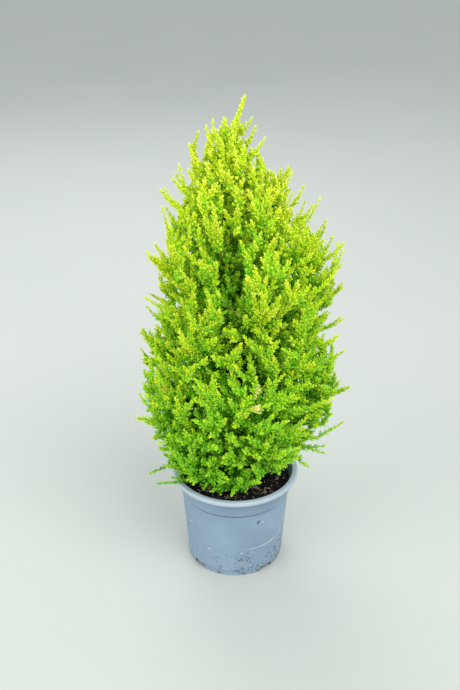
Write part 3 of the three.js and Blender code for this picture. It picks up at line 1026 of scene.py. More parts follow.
class Tubes:
    """Round tapering limbs that are gathered into one mesh."""

    MOSTLY_ACROSS = 0.8

    def __init__(self) -> None:
        """Starts with no limbs."""
        self.points: list[Array] = []
        self.triangles: list[Array] = []
        self.count = 0

    def add(self, path: Array, radii: Array, sides: int, relief: Array | float = 1.0) -> None:
        """Adds a limb along a path, closed at both ends.

        Args:
            path: Points along its middle.
            radii: Its radius at each of them.
            sides: How many sides it has.
            relief: What multiplies the radius, one for all or for each point and side.
        """
        tangents = unit(np.gradient(path, axis=0))
        chord = unit(path[-1] - path[0])
        reference = BACKWARD if abs(chord[0]) > self.MOSTLY_ACROSS else ACROSS
        side = unit(reference - tangents * (tangents @ reference)[:, None])
        front = np.cross(tangents, side)
        around = np.arange(sides)
        turns = (around / sides * FULL_TURN)[None, :, None]
        spokes = side[:, None] * np.cos(turns) + front[:, None] * np.sin(turns)
        reach = np.broadcast_to(radii[:, None] * relief, (len(path), sides))
        rings = path[:, None] + spokes * reach[..., None]
        points = np.concatenate([rings.reshape(-1, 3), path[:1], path[-1:]])
        ring, i = np.meshgrid(np.arange(len(path) - 1), around, indexing="ij")
        a, b = ring * sides + i, ring * sides + (i + 1) % sides
        walls = np.concatenate([np.stack([a, b, a + sides], -1), np.stack([b, b + sides, a + sides], -1)])
        last, following = (len(path) - 1) * sides, (around + 1) % sides
        foot = np.stack([np.full(sides, len(points) - 2), following, around], -1)
        tip = np.stack([np.full(sides, len(points) - 1), last + around, last + following], -1)
        self.points.append(points)
        self.triangles.append(np.concatenate([walls.reshape(-1, 3), foot, tip]) + self.count)
        self.count += len(points)

    def piece(self, name: str) -> Piece:
        """Returns all limbs as one object."""
        return mesh_piece(name, np.concatenate(self.points), np.concatenate(self.triangles))


def even_path(points: Array, count: int) -> Array:
    """Spaces points evenly along a polyline.

    Args:
        points: Its corners, one a row.
        count: How many points are wanted.

    Returns:
        The points, one a row.
    """
    steps = np.concatenate([[0], np.cumsum(np.linalg.norm(np.diff(points, axis=0), axis=1))])
    places = np.linspace(0, steps[-1], count)
    return np.stack([np.interp(places, steps, points[:, k]) for k in range(3)], 1)


def arch(start: Array, middle: Array, end: Array, count: int) -> Array:
    """Returns even points on the curve that leaves start towards middle and reaches end from it."""
    t = np.linspace(0, 1, CURVE_POINTS)[:, None]
    return even_path((1 - t) ** 2 * start + 2 * t * (1 - t) * middle + t**2 * end, count)


def on_limb(limb: Array, shares: Array) -> tuple[Array, Array]:
    """Finds where shares of a limb's length are.

    Args:
        limb: Even points along the limb.
        shares: The shares, from 0 to 1.

    Returns:
        Their places, and where the limb points there.
    """
    places = shares * (len(limb) - 1)
    low = np.minimum(np.floor(places).astype(int), len(limb) - 2)
    step = (places - low)[:, None]
    return limb[low] * (1 - step) + limb[low + 1] * step, unit(limb[low + 1] - limb[low])


@dataclass(frozen=True)
class Trunk:
    """The stem's sizes, as the solids have them."""

    x: float = -7.0
    y: float = 1.0
    foot: float = 101.3
    top: float = 430.0
    lean: float = -2.0
    sway: float = 2.2
    sway_depth: float = -0.6
    bends: float = 1.6
    foot_radius: float = 5.3
    top_radius: float = 1.5
    taper: float = 0.8
    flare: float = 3.4
    flare_height: float = 9.0
    flare_lobes: int = 5
    lobe_depth: float = 0.16

    def share(self, height: Array | float) -> Array:
        """Returns the share of the stem that is below a height."""
        return np.clip((np.asarray(height, float) - self.foot) / (self.top - self.foot), 0, 1)

    def at(self, height: Array | float) -> Array:
        """Works out where the stem's middle is.

        Args:
            height: One height or many.

        Returns:
            A point for each.
        """
        share = self.share(height)
        bend = np.sin(share * math.pi * self.bends) * self.sway
        height = self.foot + (self.top - self.foot) * share
        return np.stack([self.x + self.lean * share + bend, self.y + self.sway_depth * bend, height], -1)

    def radius(self, height: Array) -> Array:
        """Returns the stem's radius at a height, without its root flare."""
        return self.foot_radius + (self.top_radius - self.foot_radius) * self.share(height) ** self.taper

    def flared(self, heights: Array, turns: Array) -> Array:
        """Returns what the root flare multiplies the radius by.

        Args:
            heights: Height of each ring.
            turns: Angle of each side, in radians.

        Returns:
            One factor for each ring and side.
        """
        lobes = 1 + self.lobe_depth * np.cos(self.flare_lobes * turns)
        flare = self.flare * np.exp(-(heights - self.foot) / self.flare_height)
        return 1 + flare[:, None] * lobes[None] / self.radius(heights)[:, None]


@dataclass(frozen=True)
class PlantRule:
    """How the boughs and plumes share out the crown.

    The outline has half widths and the middle has places across, each by height. The window is a
    gap in the crown's front: where it is across and in height, its half width, its half height
    and how near to the stem it reaches. The bare rows are the heights that the front is left
    open above the pot, by the place across.
    """

    plumes: int = 25
    first_seed: int = 1000
    seed_step: int = 17
    bottom: float = 116.0
    top: float = 498.0
    slices: int = 200
    first_turn: float = 106.0
    turn_jitter: float = 9.0
    least_reach: float = 0.98
    more_reach: float = 0.14
    outline: Table = (
        (104, 46), (130, 75), (165, 97), (210, 110), (240, 113), (275, 100), (310, 95), (365, 98),
        (395, 87), (430, 73), (455, 53), (480, 37), (500, 19), (512, 9), (526, 4),
    )
    middle: Table = (
        (104, -8), (150, -1), (200, 3), (245, 7), (275, 3), (320, 10), (368, 12), (395, 2),
        (440, -2), (490, -8), (526, 6),
    )
    rise: Table = ((116, 6), (200, 40), (320, 66), (498, 84))
    root_above: float = 8.0
    bough_share: float = 0.21
    climb: float = 0.3
    bough_bend: float = 0.35
    stem_bend: float = 0.45
    bough_points: int = 13
    stem_points: int = 41
    girth: Table = ((0, 0.42), (0.3, 0.55), (0.6, 0.5), (0.85, 0.34), (1, 0.14))
    slimness: float = 0.44
    widest: float = 52.0
    leader_tip: Triple = (8.5, -1.0, 526.0)
    leader_foot: float = 20.0
    leader_girth: float = 28.0
    window: tuple[float, float, float, float, float] = (-5.0, 370.0, 11.0, 46.0, 30.0)
    over_top: float = 2.0
    pot_clearance: float = 2.5
    rim_reach: float = 59.5
    rim_height: float = 112.0
    ground: float = 102.3
    bare: Table = ((16, 0), (32, 30), (62, 36))
    proud: float = 1.0


@dataclass
class Plume:
    """One mass of the crown: its bough, and the stem that goes on from the bough's tip."""

    index: int
    bough: Array
    stem: Array
    length: float
    girth: float


class PlantPlan:
    """The plan of the crown and the space that each plume has in it."""

    SAMPLES = 19
    STEP = 2.5
    FREE_LENGTH = 6.0

    def __init__(self, rule: PlantRule, trunk: Trunk, solids: Array) -> None:
        """Plans every plume.

        Args:
            rule: How the crown is shared out.
            trunk: The stem that the boughs leave.
            solids: The lowest and the highest corner of the box round the solids.
        """
        self.rule = rule
        self.trunk = trunk
        self.room = solids + np.array([[-rule.proud], [rule.proud]])
        self.plumes = [self.plan(index) for index in range(rule.plumes)]
        self.plumes.append(self.leader())
        self.stems = np.stack([even_path(plume.stem, self.SAMPLES) for plume in self.plumes])

    def height_at_share(self, share: float) -> float:
        """Finds the height below which a share of the crown's skin lies.

        Args:
            share: The share, from 0 to 1.

        Returns:
            A height in millimetres.
        """
        rule = self.rule
        step = (rule.top - rule.bottom) / rule.slices
        heights = rule.bottom + (np.arange(rule.slices) + 0.5) * step
        sums = np.cumsum(at_height(rule.outline, heights))
        return float(heights[np.searchsorted(sums, share * sums[-1])])

    def plan(self, index: int) -> Plume:
        """Plans one side plume.

        Args:
            index: Its number, from the bottom up.

        Returns:
            Its bough and its stem.
        """
        rule = self.rule
        random = Seeded(rule.first_seed + rule.seed_step * index)
        height = self.height_at_share((index + 0.5) / rule.plumes)
        jitter = (random() - 0.5) * 2 * rule.turn_jitter
        bearing = math.radians(rule.first_turn + jitter) + index * GOLDEN_ANGLE
        reach = at_height(rule.outline, height) * (rule.least_reach + rule.more_reach * random())
        across = at_height(rule.middle, height) + reach * math.cos(bearing)
        tip = np.array([across, reach * math.sin(bearing), height])
        lowest = self.trunk.foot + rule.root_above
        root = self.trunk.at(max(height - at_height(rule.rise, height), lowest))
        way = tip - root
        end = root + way * rule.bough_share
        end[2] = root[2] + way[2] * rule.bough_share * rule.climb * 2
        bend = (root + end) / 2
        bend[2] = root[2] + (end[2] - root[2]) * rule.bough_bend
        return self.with_stem(index, arch(root, bend, end, rule.bough_points), unit(end - bend), tip)

    def with_stem(self, index: int, bough: Array, heading: Array, tip: Array) -> Plume:
        """Lets a stem go on from a bough's tip, in line with it, and turn to its own tip.

        Args:
            index: The plume's number.
            bough: Points along the bough.
            heading: Where the bough points at its end.
            tip: Where the stem ends.

        Returns:
            The plume.
        """
        rule, foot = self.rule, bough[-1]
        length = float(np.linalg.norm(tip - foot))
        stem = arch(foot, foot + heading * length * rule.stem_bend, tip, rule.stem_points)
        return Plume(index, bough, stem, length, min(1, rule.widest / (rule.slimness * length)))

    def leader(self) -> Plume:
        """Returns the plan of the plume that the stem itself ends in."""
        rule, top = self.rule, self.trunk.top
        bough = self.trunk.at(np.linspace(top - rule.leader_foot, top, 3))
        plume = self.with_stem(rule.plumes, bough, unit(bough[-1] - bough[0]), np.array(rule.leader_tip))
        plume.girth = rule.leader_girth / (rule.slimness * plume.length)
        return plume

    def is_side(self, plume: Plume) -> bool:
        """Tells whether a plume is any other than the leader."""
        return plume.index < self.rule.plumes

    def outwardness(self, points: Array) -> Array:
        """Returns how far out points are, from 0 at the crown's middle to 1 at its outline."""
        across = points[:, 0] - at_height(self.rule.middle, points[:, 2])
        return np.hypot(across, points[:, 1]) / at_height(self.rule.outline, points[:, 2])

    def in_crown(self, z: Array, turn: Array, radius: Array) -> Array:
        """Finds places round the crown's middle.

        Args:
            z: Their heights.
            turn: Where they are round the middle, in radians.
            radius: How far they are from it.

        Returns:
            Points, one a row.
        """
        across = radius * np.cos(turn) + at_height(self.rule.middle, z)
        return np.stack([across, radius * np.sin(turn), z], 1)

    def open_space(self, points: Array, flank: Array | float) -> Array:
        """Tells which points foliage may fill.

        Args:
            points: Points, one a row.
            flank: Share of the crown's outline that they may reach.

        Returns:
            True for each point that is inside the crown, above the pot and out of the window in
            the crown's front.
        """
        rule = self.rule
        inside = (self.outwardness(points) < flank) & (points[:, 2] < rule.outline[-1][0] + rule.over_top)
        over_rim = np.hypot(points[:, 0], points[:, 1]) > rule.rim_reach
        bare = np.where(points[:, 1] < 0, at_height(rule.bare, points[:, 0]), 0)
        floor = np.where(over_rim, rule.rim_height, rule.ground) + rule.pot_clearance + bare
        x, z, half_width, half_height, depth = rule.window
        away = ((points[:, 0] - x) / half_width) ** 2 + ((points[:, 2] - z) / half_height) ** 2
        inside &= self.in_room(points) & (points[:, 2] > floor)
        return inside & ((away > 1) | (points[:, 1] > -depth))

    def in_room(self, points: Array) -> Array:
        """Tells which points are in the solids' box, or only just out of it."""
        low, high = self.room
        return ((points > low) & (points < high)).all(-1)

    def gaps(self, points: Array) -> Array:
        """Returns how far each point is from each plume's stem."""
        return np.sqrt(((points[:, None, None] - self.stems[None]) ** 2).sum(-1).min(-1))

    def reach(
        self,
        index: int,
        starts: Array,
        headings: Array,
        limits: Array,
        flanks: Array,
        rule: "ShootRule",
        own: bool,
    ) -> Array:
        """Finds how far shoots get from their starts before their space ends.

        Args:
            index: The plume's number.
            starts: Where the shoots start.
            headings: Where they point.
            limits: The most that each may reach.
            flanks: Share of the crown's outline that each may reach.
            rule: How they grow.
            own: Whether they keep to the plume's own space.

        Returns:
            A length for each.
        """
        reached = np.zeros(len(starts))
        going = np.ones(len(starts), bool)
        for distance in np.arange(self.STEP, limits.max() + self.STEP, self.STEP):
            going &= distance <= limits
            if not going.any():
                break
            points = starts + headings * distance + UP * (rule.curl * distance**2 / limits)[:, None]
            inside = self.open_space(points, flanks)
            if own:
                gaps = self.gaps(points)
                inside &= gaps[:, index] < gaps.min(1) + rule.overlap
            going &= inside | (distance < self.FREE_LENGTH)
            reached[going] = distance
        return reached


@dataclass(frozen=True)
class Ridges:
    """The cracks and flakes of bark, as noise round a limb and along it."""

    round: float = 2.4
    rise: float = 0.055
    crack: float = 1.7
    crack_depth: float = 1.2
    crack_middle: float = 0.75
    flake: float = 4.1
    flake_rise: float = 0.11
    flake_depth: float = 0.5

    def relief(self, turns: Array, heights: Array, depth: float) -> Array:
        """Works out what multiplies the radius where bark is cracked along a limb.

        Args:
            turns: Angle of each side, in radians.
            heights: Height of each ring.
            depth: Depth of the cracks as a share of the radius.

        Returns:
            One factor for each ring and side.
        """
        relief = np.empty((len(heights), len(turns)))
        for row, z in enumerate(heights):
            for column, turn in enumerate(turns):
                place = Vector((math.cos(turn) * self.round, math.sin(turn) * self.round, z * self.rise))
                crack = 1 - abs(noise.noise(place * self.crack))
                flake = noise.noise(place * self.flake + Vector((0, 0, z * self.flake_rise)))
                cracked = self.crack_depth * (self.crack_middle - crack**3)
                relief[row, column] = 1 + depth * (cracked + self.flake_depth * flake)
        return relief


@dataclass
class Limbs:
    """The stem and its boughs, with the relief of their bark."""

    crown: PlantPlan
    ridges: Ridges = Ridges()
    sides: int = 72
    rings: int = 420
    crowding: float = 1.15
    depth: float = 0.075
    bough_sides: int = 18
    bough_rings: int = 26
    bough_depth: float = 0.07
    bough_rise: float = 18.0
    root_radius: float = 1.9
    tip_radius: float = 1.15
    collar: float = 1.3
    collar_fall: float = 9.0

    def stem(self) -> Piece:
        """Returns the stem, with its root flare."""
        trunk = self.crown.trunk
        shares = np.linspace(0, 1, self.rings) ** self.crowding
        heights = trunk.foot + (trunk.top - trunk.foot) * shares
        turns = np.arange(self.sides) / self.sides * FULL_TURN
        relief = self.ridges.relief(turns, heights, self.depth) * trunk.flared(heights, turns)
        stem = Tubes()
        stem.add(trunk.at(heights), trunk.radius(heights), self.sides, relief)
        return stem.piece("stem_bark")

    def boughs(self) -> Piece:
        """Returns all boughs as one piece, each with a collar where it leaves the stem."""
        boughs = Tubes()
        turns = np.arange(self.bough_sides) / self.bough_sides * FULL_TURN
        share = np.linspace(0, 1, self.bough_rings)
        collar = self.collar * np.exp(-share * self.collar_fall)
        radii = self.root_radius + (self.tip_radius - self.root_radius) * share + collar
        for plume in self.crown.plumes[:-1]:
            heights = plume.bough[0, 2] + share * self.bough_rise
            relief = self.ridges.relief(turns + plume.index, heights, self.bough_depth)
            boughs.add(even_path(plume.bough, self.bough_rings), radii, self.bough_sides, relief)
        return boughs.piece("bough_bark")

    def build(self) -> None:
        """Makes the stem and the boughs."""
        hand_over(self.stem(), BARK.material(), ("trunk",))
        nodes = tuple(f"bough_{plume.index + 1:02d}" for plume in self.crown.plumes[:-1])
        hand_over(self.boughs(), BARK.material(), nodes)


# ------------------------------------------------------------------------------ foliage

BRANCHLET_FACES = np.array([[0, 2, 1], [0, 1, 3], [1, 2, 3], [2, 0, 3]])
PALEST = list(Tint).index(Tint.PALE)
ORIGIN, HEADING, LENGTH, AGE, PLUME = slice(0, 3), slice(3, 6), 6, 7, 8  # a spray's places in the heap


@dataclass(frozen=True)
class SprayShape:
    """A spray one long: a shoot with slim scale-leaved branchlets on all sides of it.

    Each branchlet is a three-sided point. Its corners are kept as places along its middle and as
    spokes out from it, so that a short spray's branchlets are as thick as a long one's.
    """

    branchlets: int = 9
    first: float = 0.08
    last: float = 0.88
    longest: float = 0.52
    shortest: float = 0.24
    opening: float = 44.0
    bow: float = 0.1
    uneven_length: Pair = (0.8, 1.15)
    uneven_girth: Pair = (0.8, 1.1)
    uneven_opening: float = 7.0
    uneven_turn: float = 0.3  # radians

    def point(self, start: Array, end: Array, girth: float, turn: float) -> Array:
        """Shapes one branchlet.

        Args:
            start: The middle of its foot.
            end: Its tip.
            girth: Its thickness as a share of the usual one.
            turn: How far it is turned about itself.

        Returns:
            Its four middle places and, after them, its four spokes.
        """
        heading = unit(end - start)
        around = np.repeat([square_to(heading)], 3, 0)
        angles = turn + np.arange(3) / 3 * FULL_TURN
        spokes = turned_about(around, np.repeat([heading], 3, 0), angles) * girth
        middles = np.concatenate([np.repeat([start], 3, 0), [end]])
        return np.stack([middles, np.concatenate([spokes, np.zeros((1, 3))])])

    def variant(self, seed: int) -> tuple[Array, Array]:
        """Makes one spray.

        Args:
            seed: What sets its unevenness.

        Returns:
            The branchlets of its inner half and those of its outer half.
        """
        random = np.random.default_rng(seed)
        bow = self.bow * random.uniform(-1, 1, 2)
        points = [self.point(np.zeros(3), np.array([1, *bow]), 1.0, 0)]
        for number in range(self.branchlets):
            share = number / (self.branchlets - 1)
            s = self.first + (self.last - self.first) * share
            length = self.longest + (self.shortest - self.longest) * share
            length *= random.uniform(*self.uneven_length)
            angle = math.radians(self.opening + random.normal(0, self.uneven_opening))
            turn = number * GOLDEN_ANGLE + random.normal(0, self.uneven_turn)
            sideways = np.array([0, math.cos(turn), math.sin(turn)])
            heading = ACROSS * math.cos(angle) + sideways * math.sin(angle)
            start = np.array([s, *(bow * s * s)])
            girth = random.uniform(*self.uneven_girth)
            points.append(self.point(start, start + heading * length, girth, turn))
        half = 1 + self.branchlets // 2
        return np.stack(points[:half]), np.stack(points[half:])


@dataclass(frozen=True)
class ShootRule:
    """How shoots leave a limb, and how sprays leave the shoots."""

    spacing: float = 4.4
    low_angle: float = 62.0
    high_angle: float = 26.0
    uneven_angle: float = 7.0
    uneven_turn: float = 0.3  # radians
    lift: Table = ((110, 0.1), (250, 0.45), (400, 1.0), (510, 1.4))
    curl: float = 0.22
    longest: float = 62.0
    shortest: float = 7.0
    uneven_length: Pair = (0.8, 1.15)
    flank_low: Table = ((110, 0.86), (330, 0.84), (410, 0.7), (470, 0.55))
    flank_high: Table = ((110, 1.12), (330, 1.1), (410, 0.98), (470, 0.9))
    overlap: float = 5.0
    fewest: int = 3
    leafy: float = 0.9
    first_spray: float = 0.08
    spray_stretch: float = 0.88
    spray_spacing: float = 1.48
    spray_opening: float = 42.0
    spray_closing: float = 0.3
    uneven_spray: float = 6.0
    spray_lift: float = 0.2
    spray_long: float = 11.5
    spray_short: float = 4.4
    spray_least: float = 4.0
    spray_share: float = 0.3
    spray_taper: float = 0.9
    end_longer: float = 3.0

    def spray_lengths(self, sizes: Array, shares: Array) -> Array:
        """Works out how long sprays are.

        Args:
            sizes: The lengths of their shoots.
            shares: Where on the shoots they are, from 0 to 1.

        Returns:
            A length for each.
        """
        longest = np.minimum(self.spray_long, self.spray_least + sizes * self.spray_share)
        return longest + (self.spray_short - longest) * shares**self.spray_taper


@dataclass(frozen=True)
class SpikeRule:
    """How short sprays clothe the outer end of a plume's stem, so that it ends in a spike."""

    share: float = 0.62
    spacing: float = 1.25
    first: float = 0.4
    stretch: float = 0.58
    opening: float = 40.0
    closing: float = 10.0
    lift: float = 0.12
    longest: float = 13.0
    loss: float = 8.5
    taper: float = 0.8
    uneven_length: Pair = (0.85, 1.1)
    last: float = 7.0
    leader_slim: float = 0.66

    def lengths(self, shares: Array) -> Array:
        """Returns how long the sprays at shares of the stem are."""
        gone = np.clip((shares - self.first) / (1 - self.first), 0, 1)
        return self.longest - self.loss * gone**self.taper


@dataclass(frozen=True)
class Strays:
    """Slim shoots that stand out of the crown and make its edge ragged."""

    count: int = 90
    heights: Pair = (122.0, 474.0)
    flank: Pair = (0.97, 1.1)
    low_tips: tuple[Triple, ...] = ((-95, -26, 120), (-86, -36, 114), (94, -30, 150), (117, -10, 177))
    right_heights: tuple[float, ...] = (371, 378, 386, 397, 438, 451, 484, 495, 503)
    left_heights: tuple[float, ...] = (433, 459, 478, 490, 496, 501)
    rule: ShootRule = ShootRule(spray_spacing=1.5, spray_long=6.5, spray_short=3.0)

    def tips(self, crown: PlantPlan, random: np.random.Generator) -> Array:
        """Returns where the shoots end.

        Args:
            crown: The crown's plan.
            random: The source of their places.

        Returns:
            Points in millimetres, one a row.
        """
        z = random.uniform(*self.heights, self.count)
        turn = random.random(self.count) * FULL_TURN
        radius = random.uniform(*self.flank, self.count) * at_height(crown.rule.outline, z)
        tips = [crown.in_crown(z, turn, radius), np.array(self.low_tips)]
        for side, heights in ((1, self.right_heights), (-1, self.left_heights)):
            edge = at_height(crown.rule.middle, heights) + side * at_height(crown.rule.outline, heights)
            tips.append(np.stack([edge, np.zeros_like(edge), heights], 1))
        return np.clip(np.concatenate(tips), *crown.room)


@dataclass(frozen=True)
class FillRule:
    """How shoots fill what the rule leaves empty, from wood that is there already.

    Each fill has the shares of the crown's outline between which empty places are looked for, and
    how far from all sprays such a place is.
    """

    tries: int = 9000
    rounds: int = 2
    top: float = 480.0
    slim: Table = ((110, 1.0), (350, 0.97), (420, 0.8), (480, 0.6))
    least: float = 22.0
    climb: Table = ((110, 0.1), (250, 0.4), (400, 0.75))
    curl: Table = ((110, 0.08), (250, 0.2), (400, 0.4))
    spray_middle: float = 0.6
    apart: float = 1.3
    neighbours: int = 120
    flat_cost: float = 2.5
    short_cost: float = 2.0
    inner: Triple = (0.1, 0.62, 10.0)
    outer: Triple = (0.5, 0.95, 9.3)


@dataclass(frozen=True)
class TintRule:
    """How a spray's tint follows from where it is and how young it is."""

    ripeness: Table = (
        (105, -2.1), (170, -0.3), (240, 0.5), (320, 0.9), (400, 2.0), (450, 2.9), (526, 3.4),
    )
    outermost: float = 1.05
    # deeper inside the crown, sprays get darker, greener tints: partly the inner foliage's own green,
    # partly painted shade
    outer_gain: float = 1.9
    outer_power: float = 2.5
    young_gain: float = 1.6
    plume_mood: float = 0.25
    spray_mood: float = 0.5


@dataclass(frozen=True)
class Mark:
    """A few sprays with a colour of their own: those nearest to a place.

    Attributes:
        place: Where the mark is, in mm.
        size: How far it reaches along each axis, which weighs the distances.
        count: How many sprays it takes.
        tint: Their tint.
    """

    place: Triple
    size: Triple
    count: int
    tint: Tint

    def sprays(self, tips: Array) -> Array:
        """Returns the numbers of the sprays, out of these tips, that the mark takes."""
        distances = np.linalg.norm((tips - self.place) / np.array(self.size), axis=1)
        return np.argsort(distances)[: self.count]


INNER_SHOOTS = ShootRule(
    spacing=3.4,
    low_angle=70.0,
    high_angle=55.0,
    longest=46.0,
    spray_spacing=3.2,
    spray_long=15.0,
    spray_short=9.0,
)
STRAW_TIP = Mark((-73.0, -82.0, 250.0), (6.0, 26.0, 6.0), 6, Tint.STRAW)
CREAM_TIP = Mark((23.0, -108.0, 254.0), (3.0, 24.0, 14.0), 12, Tint.CREAM)


def along(roots: Array, headings: Array, lengths: Array, curls: Array, shares: Array | float) -> Array:
    """Finds places along shoots that curl up.

    Args:
        roots: Where the shoots start.
        headings: Where they point there.
        lengths: How long they are.
        curls: How far they turn up along their length, as a share of it.
        shares: The shares of their length, one a row or one for all.

    Returns:
        A point a row.
    """
    lengths, curls, shares = (np.reshape(part, (-1, 1)) for part in (lengths, curls, shares))
    return roots + headings * (lengths * shares) + UP * (lengths * curls * shares * shares)


def nearest_finder(places: Array) -> kdtree.KDTree:
    """Puts places in a tree in which the nearest one is found fast.

    Args:
        places: Points, one a row.

    Returns:
        The tree.
    """
    tree = kdtree.KDTree(len(places))
    for number, place in enumerate(places):
        tree.insert(place, number)
    tree.balance()
    return tree


def spray_tips(heap: Array) -> Array:
    """Returns where the sprays of a heap end."""
    return heap[:, ORIGIN] + heap[:, HEADING] * heap[:, LENGTH, None]


@dataclass
class Foliage:
    """Shoots and sprays that grow from the plumes' stems, the boughs and the trunk."""

    crown: PlantPlan
    rule: ShootRule = ShootRule()
    inner: ShootRule = INNER_SHOOTS
    spikes: SpikeRule = SpikeRule()
    strays: Strays = Strays()
    filling: FillRule = FillRule()
    tinting: TintRule = TintRule()
    marks: tuple[Mark, ...] = (STRAW_TIP, CREAM_TIP)
    seed: int = 8
    twig_radius: float = 0.55
    twig_end_radius: float = 0.22
    twig_end: float = 0.86
    twig_points: int = 4
    twig_sides: int = 3
    stem_radius: float = 1.1
    stem_end_radius: float = 0.35
    stem_sides: int = 7
    branchlet_radius: float = 0.66
    girths: Table = ((0.45, 2.8), (0.72, 1.9), (0.92, 1.0))
    deep: float = 0.72
    deep_branchlets: int = 6
    variants: int = 7
    outermost: float = 1.1
    stem_shares: int = 21
    spread: float = 1.7
    tip_room: float = 0.85
    leader_room: float = 0.5
    stem_ends: Pair = (0.01, 0.9)
    leader_ends: Pair = (0.01, 0.5)
    bough_ends: Pair = (0.25, 1.0)
    bough_limits: Table = ((0, 44.0), (1, 44.0))
    trunk_limits: Table = ((0, 40.0), (1, 40.0))
    trunk_bare: float = 22.0
    trunk_points: int = 60

    def __post_init__(self) -> None:
        """Starts the source of numbers, the twigs' mesh and the heap of sprays."""
        self.random = np.random.default_rng(self.seed)
        self.stray = len(self.crown.plumes)
        self.twigs = Tubes()
        self.sprays: list[Array] = []

    def add_sprays(self, origins: Array, headings: Array, lengths: Array, ages: Array, plume: int) -> None:
        """Adds sprays to the heap.

        Args:
            origins: Where each starts.
            headings: Where each points.
            lengths: How long each is.
            ages: From 0 at a shoot's foot to 1 at its tip.
            plume: The plume that they are in.
        """
        rows = [origins, headings, lengths[:, None], ages[:, None], np.full((len(origins), 1), plume)]
        self.sprays.append(np.concatenate(rows, axis=1))

    def grow_along(
        self, plume: int, limb: Array, rule: ShootRule, ends: Pair, limits: Table, own: bool = True
    ) -> None:
        """Lets side shoots leave a limb in a golden-angle spiral, as far as their space goes.

        Args:
            plume: The plume's number.
            limb: Even points along the limb.
            rule: How the shoots grow.
            ends: Shares of the limb between which they leave it.
            limits: The table of the most that they reach by share.
            own: Whether they keep to the plume's own space.
        """
        random = self.random
        first, last = ends
        length = np.linalg.norm(np.diff(limb, axis=0), axis=1).sum()
        count = max(rule.fewest, round(length * (last - first) / rule.spacing))
        shares = first + (last - first) * (np.arange(count) + random.random(count)) / count
        roots, tangents = on_limb(limb, shares)
        angles = rule.low_angle + (rule.high_angle - rule.low_angle) * shares
        angles += random.normal(0, rule.uneven_angle, count)
        turns = np.arange(count) * GOLDEN_ANGLE + random.normal(0, rule.uneven_turn, count)
        headings = opened(tangents, turns, angles, at_height(rule.lift, roots[:, 2]))
        most = at_height(limits, shares) * random.uniform(*rule.uneven_length, count)
        most = np.minimum(most, rule.longest)
        heights = roots[:, 2] + most / 2
        low_flank = at_height(rule.flank_low, heights)
        high_flank = at_height(rule.flank_high, heights)
        flanks = low_flank + (high_flank - low_flank) * random.random(count) ** 2
        reach = self.crown.reach(plume, roots, headings, most, flanks, rule, own)
        kept = reach > rule.shortest
        self.shoots(plume, roots[kept], headings[kept], reach[kept], np.full(kept.sum(), rule.curl), rule)

    def shoots(
        self, plume: int, roots: Array, headings: Array, lengths: Array, curls: Array, rule: ShootRule
    ) -> None:
        """Makes shoots and sets sprays along them.

        Args:
            plume: The plume's number.
            roots: Where each leaves its limb.
            headings: Where each points there.
            lengths: How long each is.
            curls: How far each turns up along its length, as a share of it.
            rule: How their sprays grow.
        """
        random = self.random
        radii = np.linspace(self.twig_radius, self.twig_end_radius, self.twig_points)
        for shoot in zip(roots, headings, lengths, curls):
            path = along(*shoot, np.linspace(0, self.twig_end, self.twig_points))
            self.twigs.add(path, radii, self.twig_sides)
        counts = np.maximum(rule.fewest, np.round(lengths * rule.leafy / rule.spray_spacing)).astype(int)
        owner = np.repeat(np.arange(len(lengths)), counts)
        number = np.arange(counts.sum()) - np.repeat(np.cumsum(counts) - counts, counts)
        s = rule.first_spray + rule.spray_stretch * (number + random.random(len(number))) / counts[owner]
        size, curl = lengths[owner], curls[owner]
        origins = along(roots[owner], headings[owner], size, curl, s)
        tangents = unit(headings[owner] + UP * (2 * curl * s)[:, None])
        turns = number * GOLDEN_ANGLE + random.random(len(lengths))[owner] * FULL_TURN
        opening = rule.spray_opening * (1 - rule.spray_closing * s)
        opening += random.normal(0, rule.uneven_spray, len(s))
        outward = opened(tangents, turns, opening, rule.spray_lift)
        sprays = rule.spray_lengths(size, s) * random.uniform(*rule.uneven_length, len(s))
        self.add_sprays(origins, outward, sprays, s, plume)
        ends = along(roots, headings, lengths, curls, rule.leafy)
        last = unit(headings + UP * (2 * curls)[:, None])
        sizes = np.full(len(ends), rule.spray_short + rule.end_longer)
        self.add_sprays(ends, last, sizes, np.ones(len(ends)), plume)

    def spike(self, plume: Plume) -> None:
        """Sets short sprays along the outer end of a plume's stem, and one on its tip.

        Args:
            plume: The plume.
        """
        random, rule = self.random, self.spikes
        count = round(plume.length * rule.share / rule.spacing)
        s = rule.first + rule.stretch * (np.arange(count) + random.random(count)) / count
        origins, tangents = on_limb(plume.stem, s)
        turns = np.arange(count) * GOLDEN_ANGLE
        headings = opened(tangents, turns, rule.opening - rule.closing * s, rule.lift)
        slim = 1 if self.crown.is_side(plume) else rule.leader_slim
        lengths = rule.lengths(s) * slim * random.uniform(*rule.uneven_length, count)
        self.add_sprays(origins, headings, lengths, s, plume.index)
        heading = unit(plume.stem[-1] - plume.stem[-4])
        start = plume.stem[-1] - heading * rule.last
        self.add_sprays(start[None], heading[None], np.array([rule.last]), np.ones(1), plume.index)

    def grow(self, plume: Plume) -> None:
        """Grows all of a plume, from its bough to its tip.

        Args:
            plume: The plume.
        """
        side = self.crown.is_side(plume)
        shares = np.linspace(0, 1, self.stem_shares)
        broad = at_height(self.crown.rule.girth, shares) * plume.length * plume.girth * self.spread
        tapering = (1 - shares) * plume.length * (self.tip_room if side else self.leader_room)
        limits = tuple(zip(shares, np.minimum(broad, tapering)))
        ends = self.stem_ends if side else self.leader_ends
        self.grow_along(plume.index, plume.stem, self.rule, ends, limits)
        if side:
            self.grow_along(plume.index, plume.bough, self.inner, self.bough_ends, self.bough_limits)
        self.spike(plume)
        radii = np.linspace(self.stem_radius, self.stem_end_radius, len(plume.stem))
        self.twigs.add(plume.stem, radii, self.stem_sides)

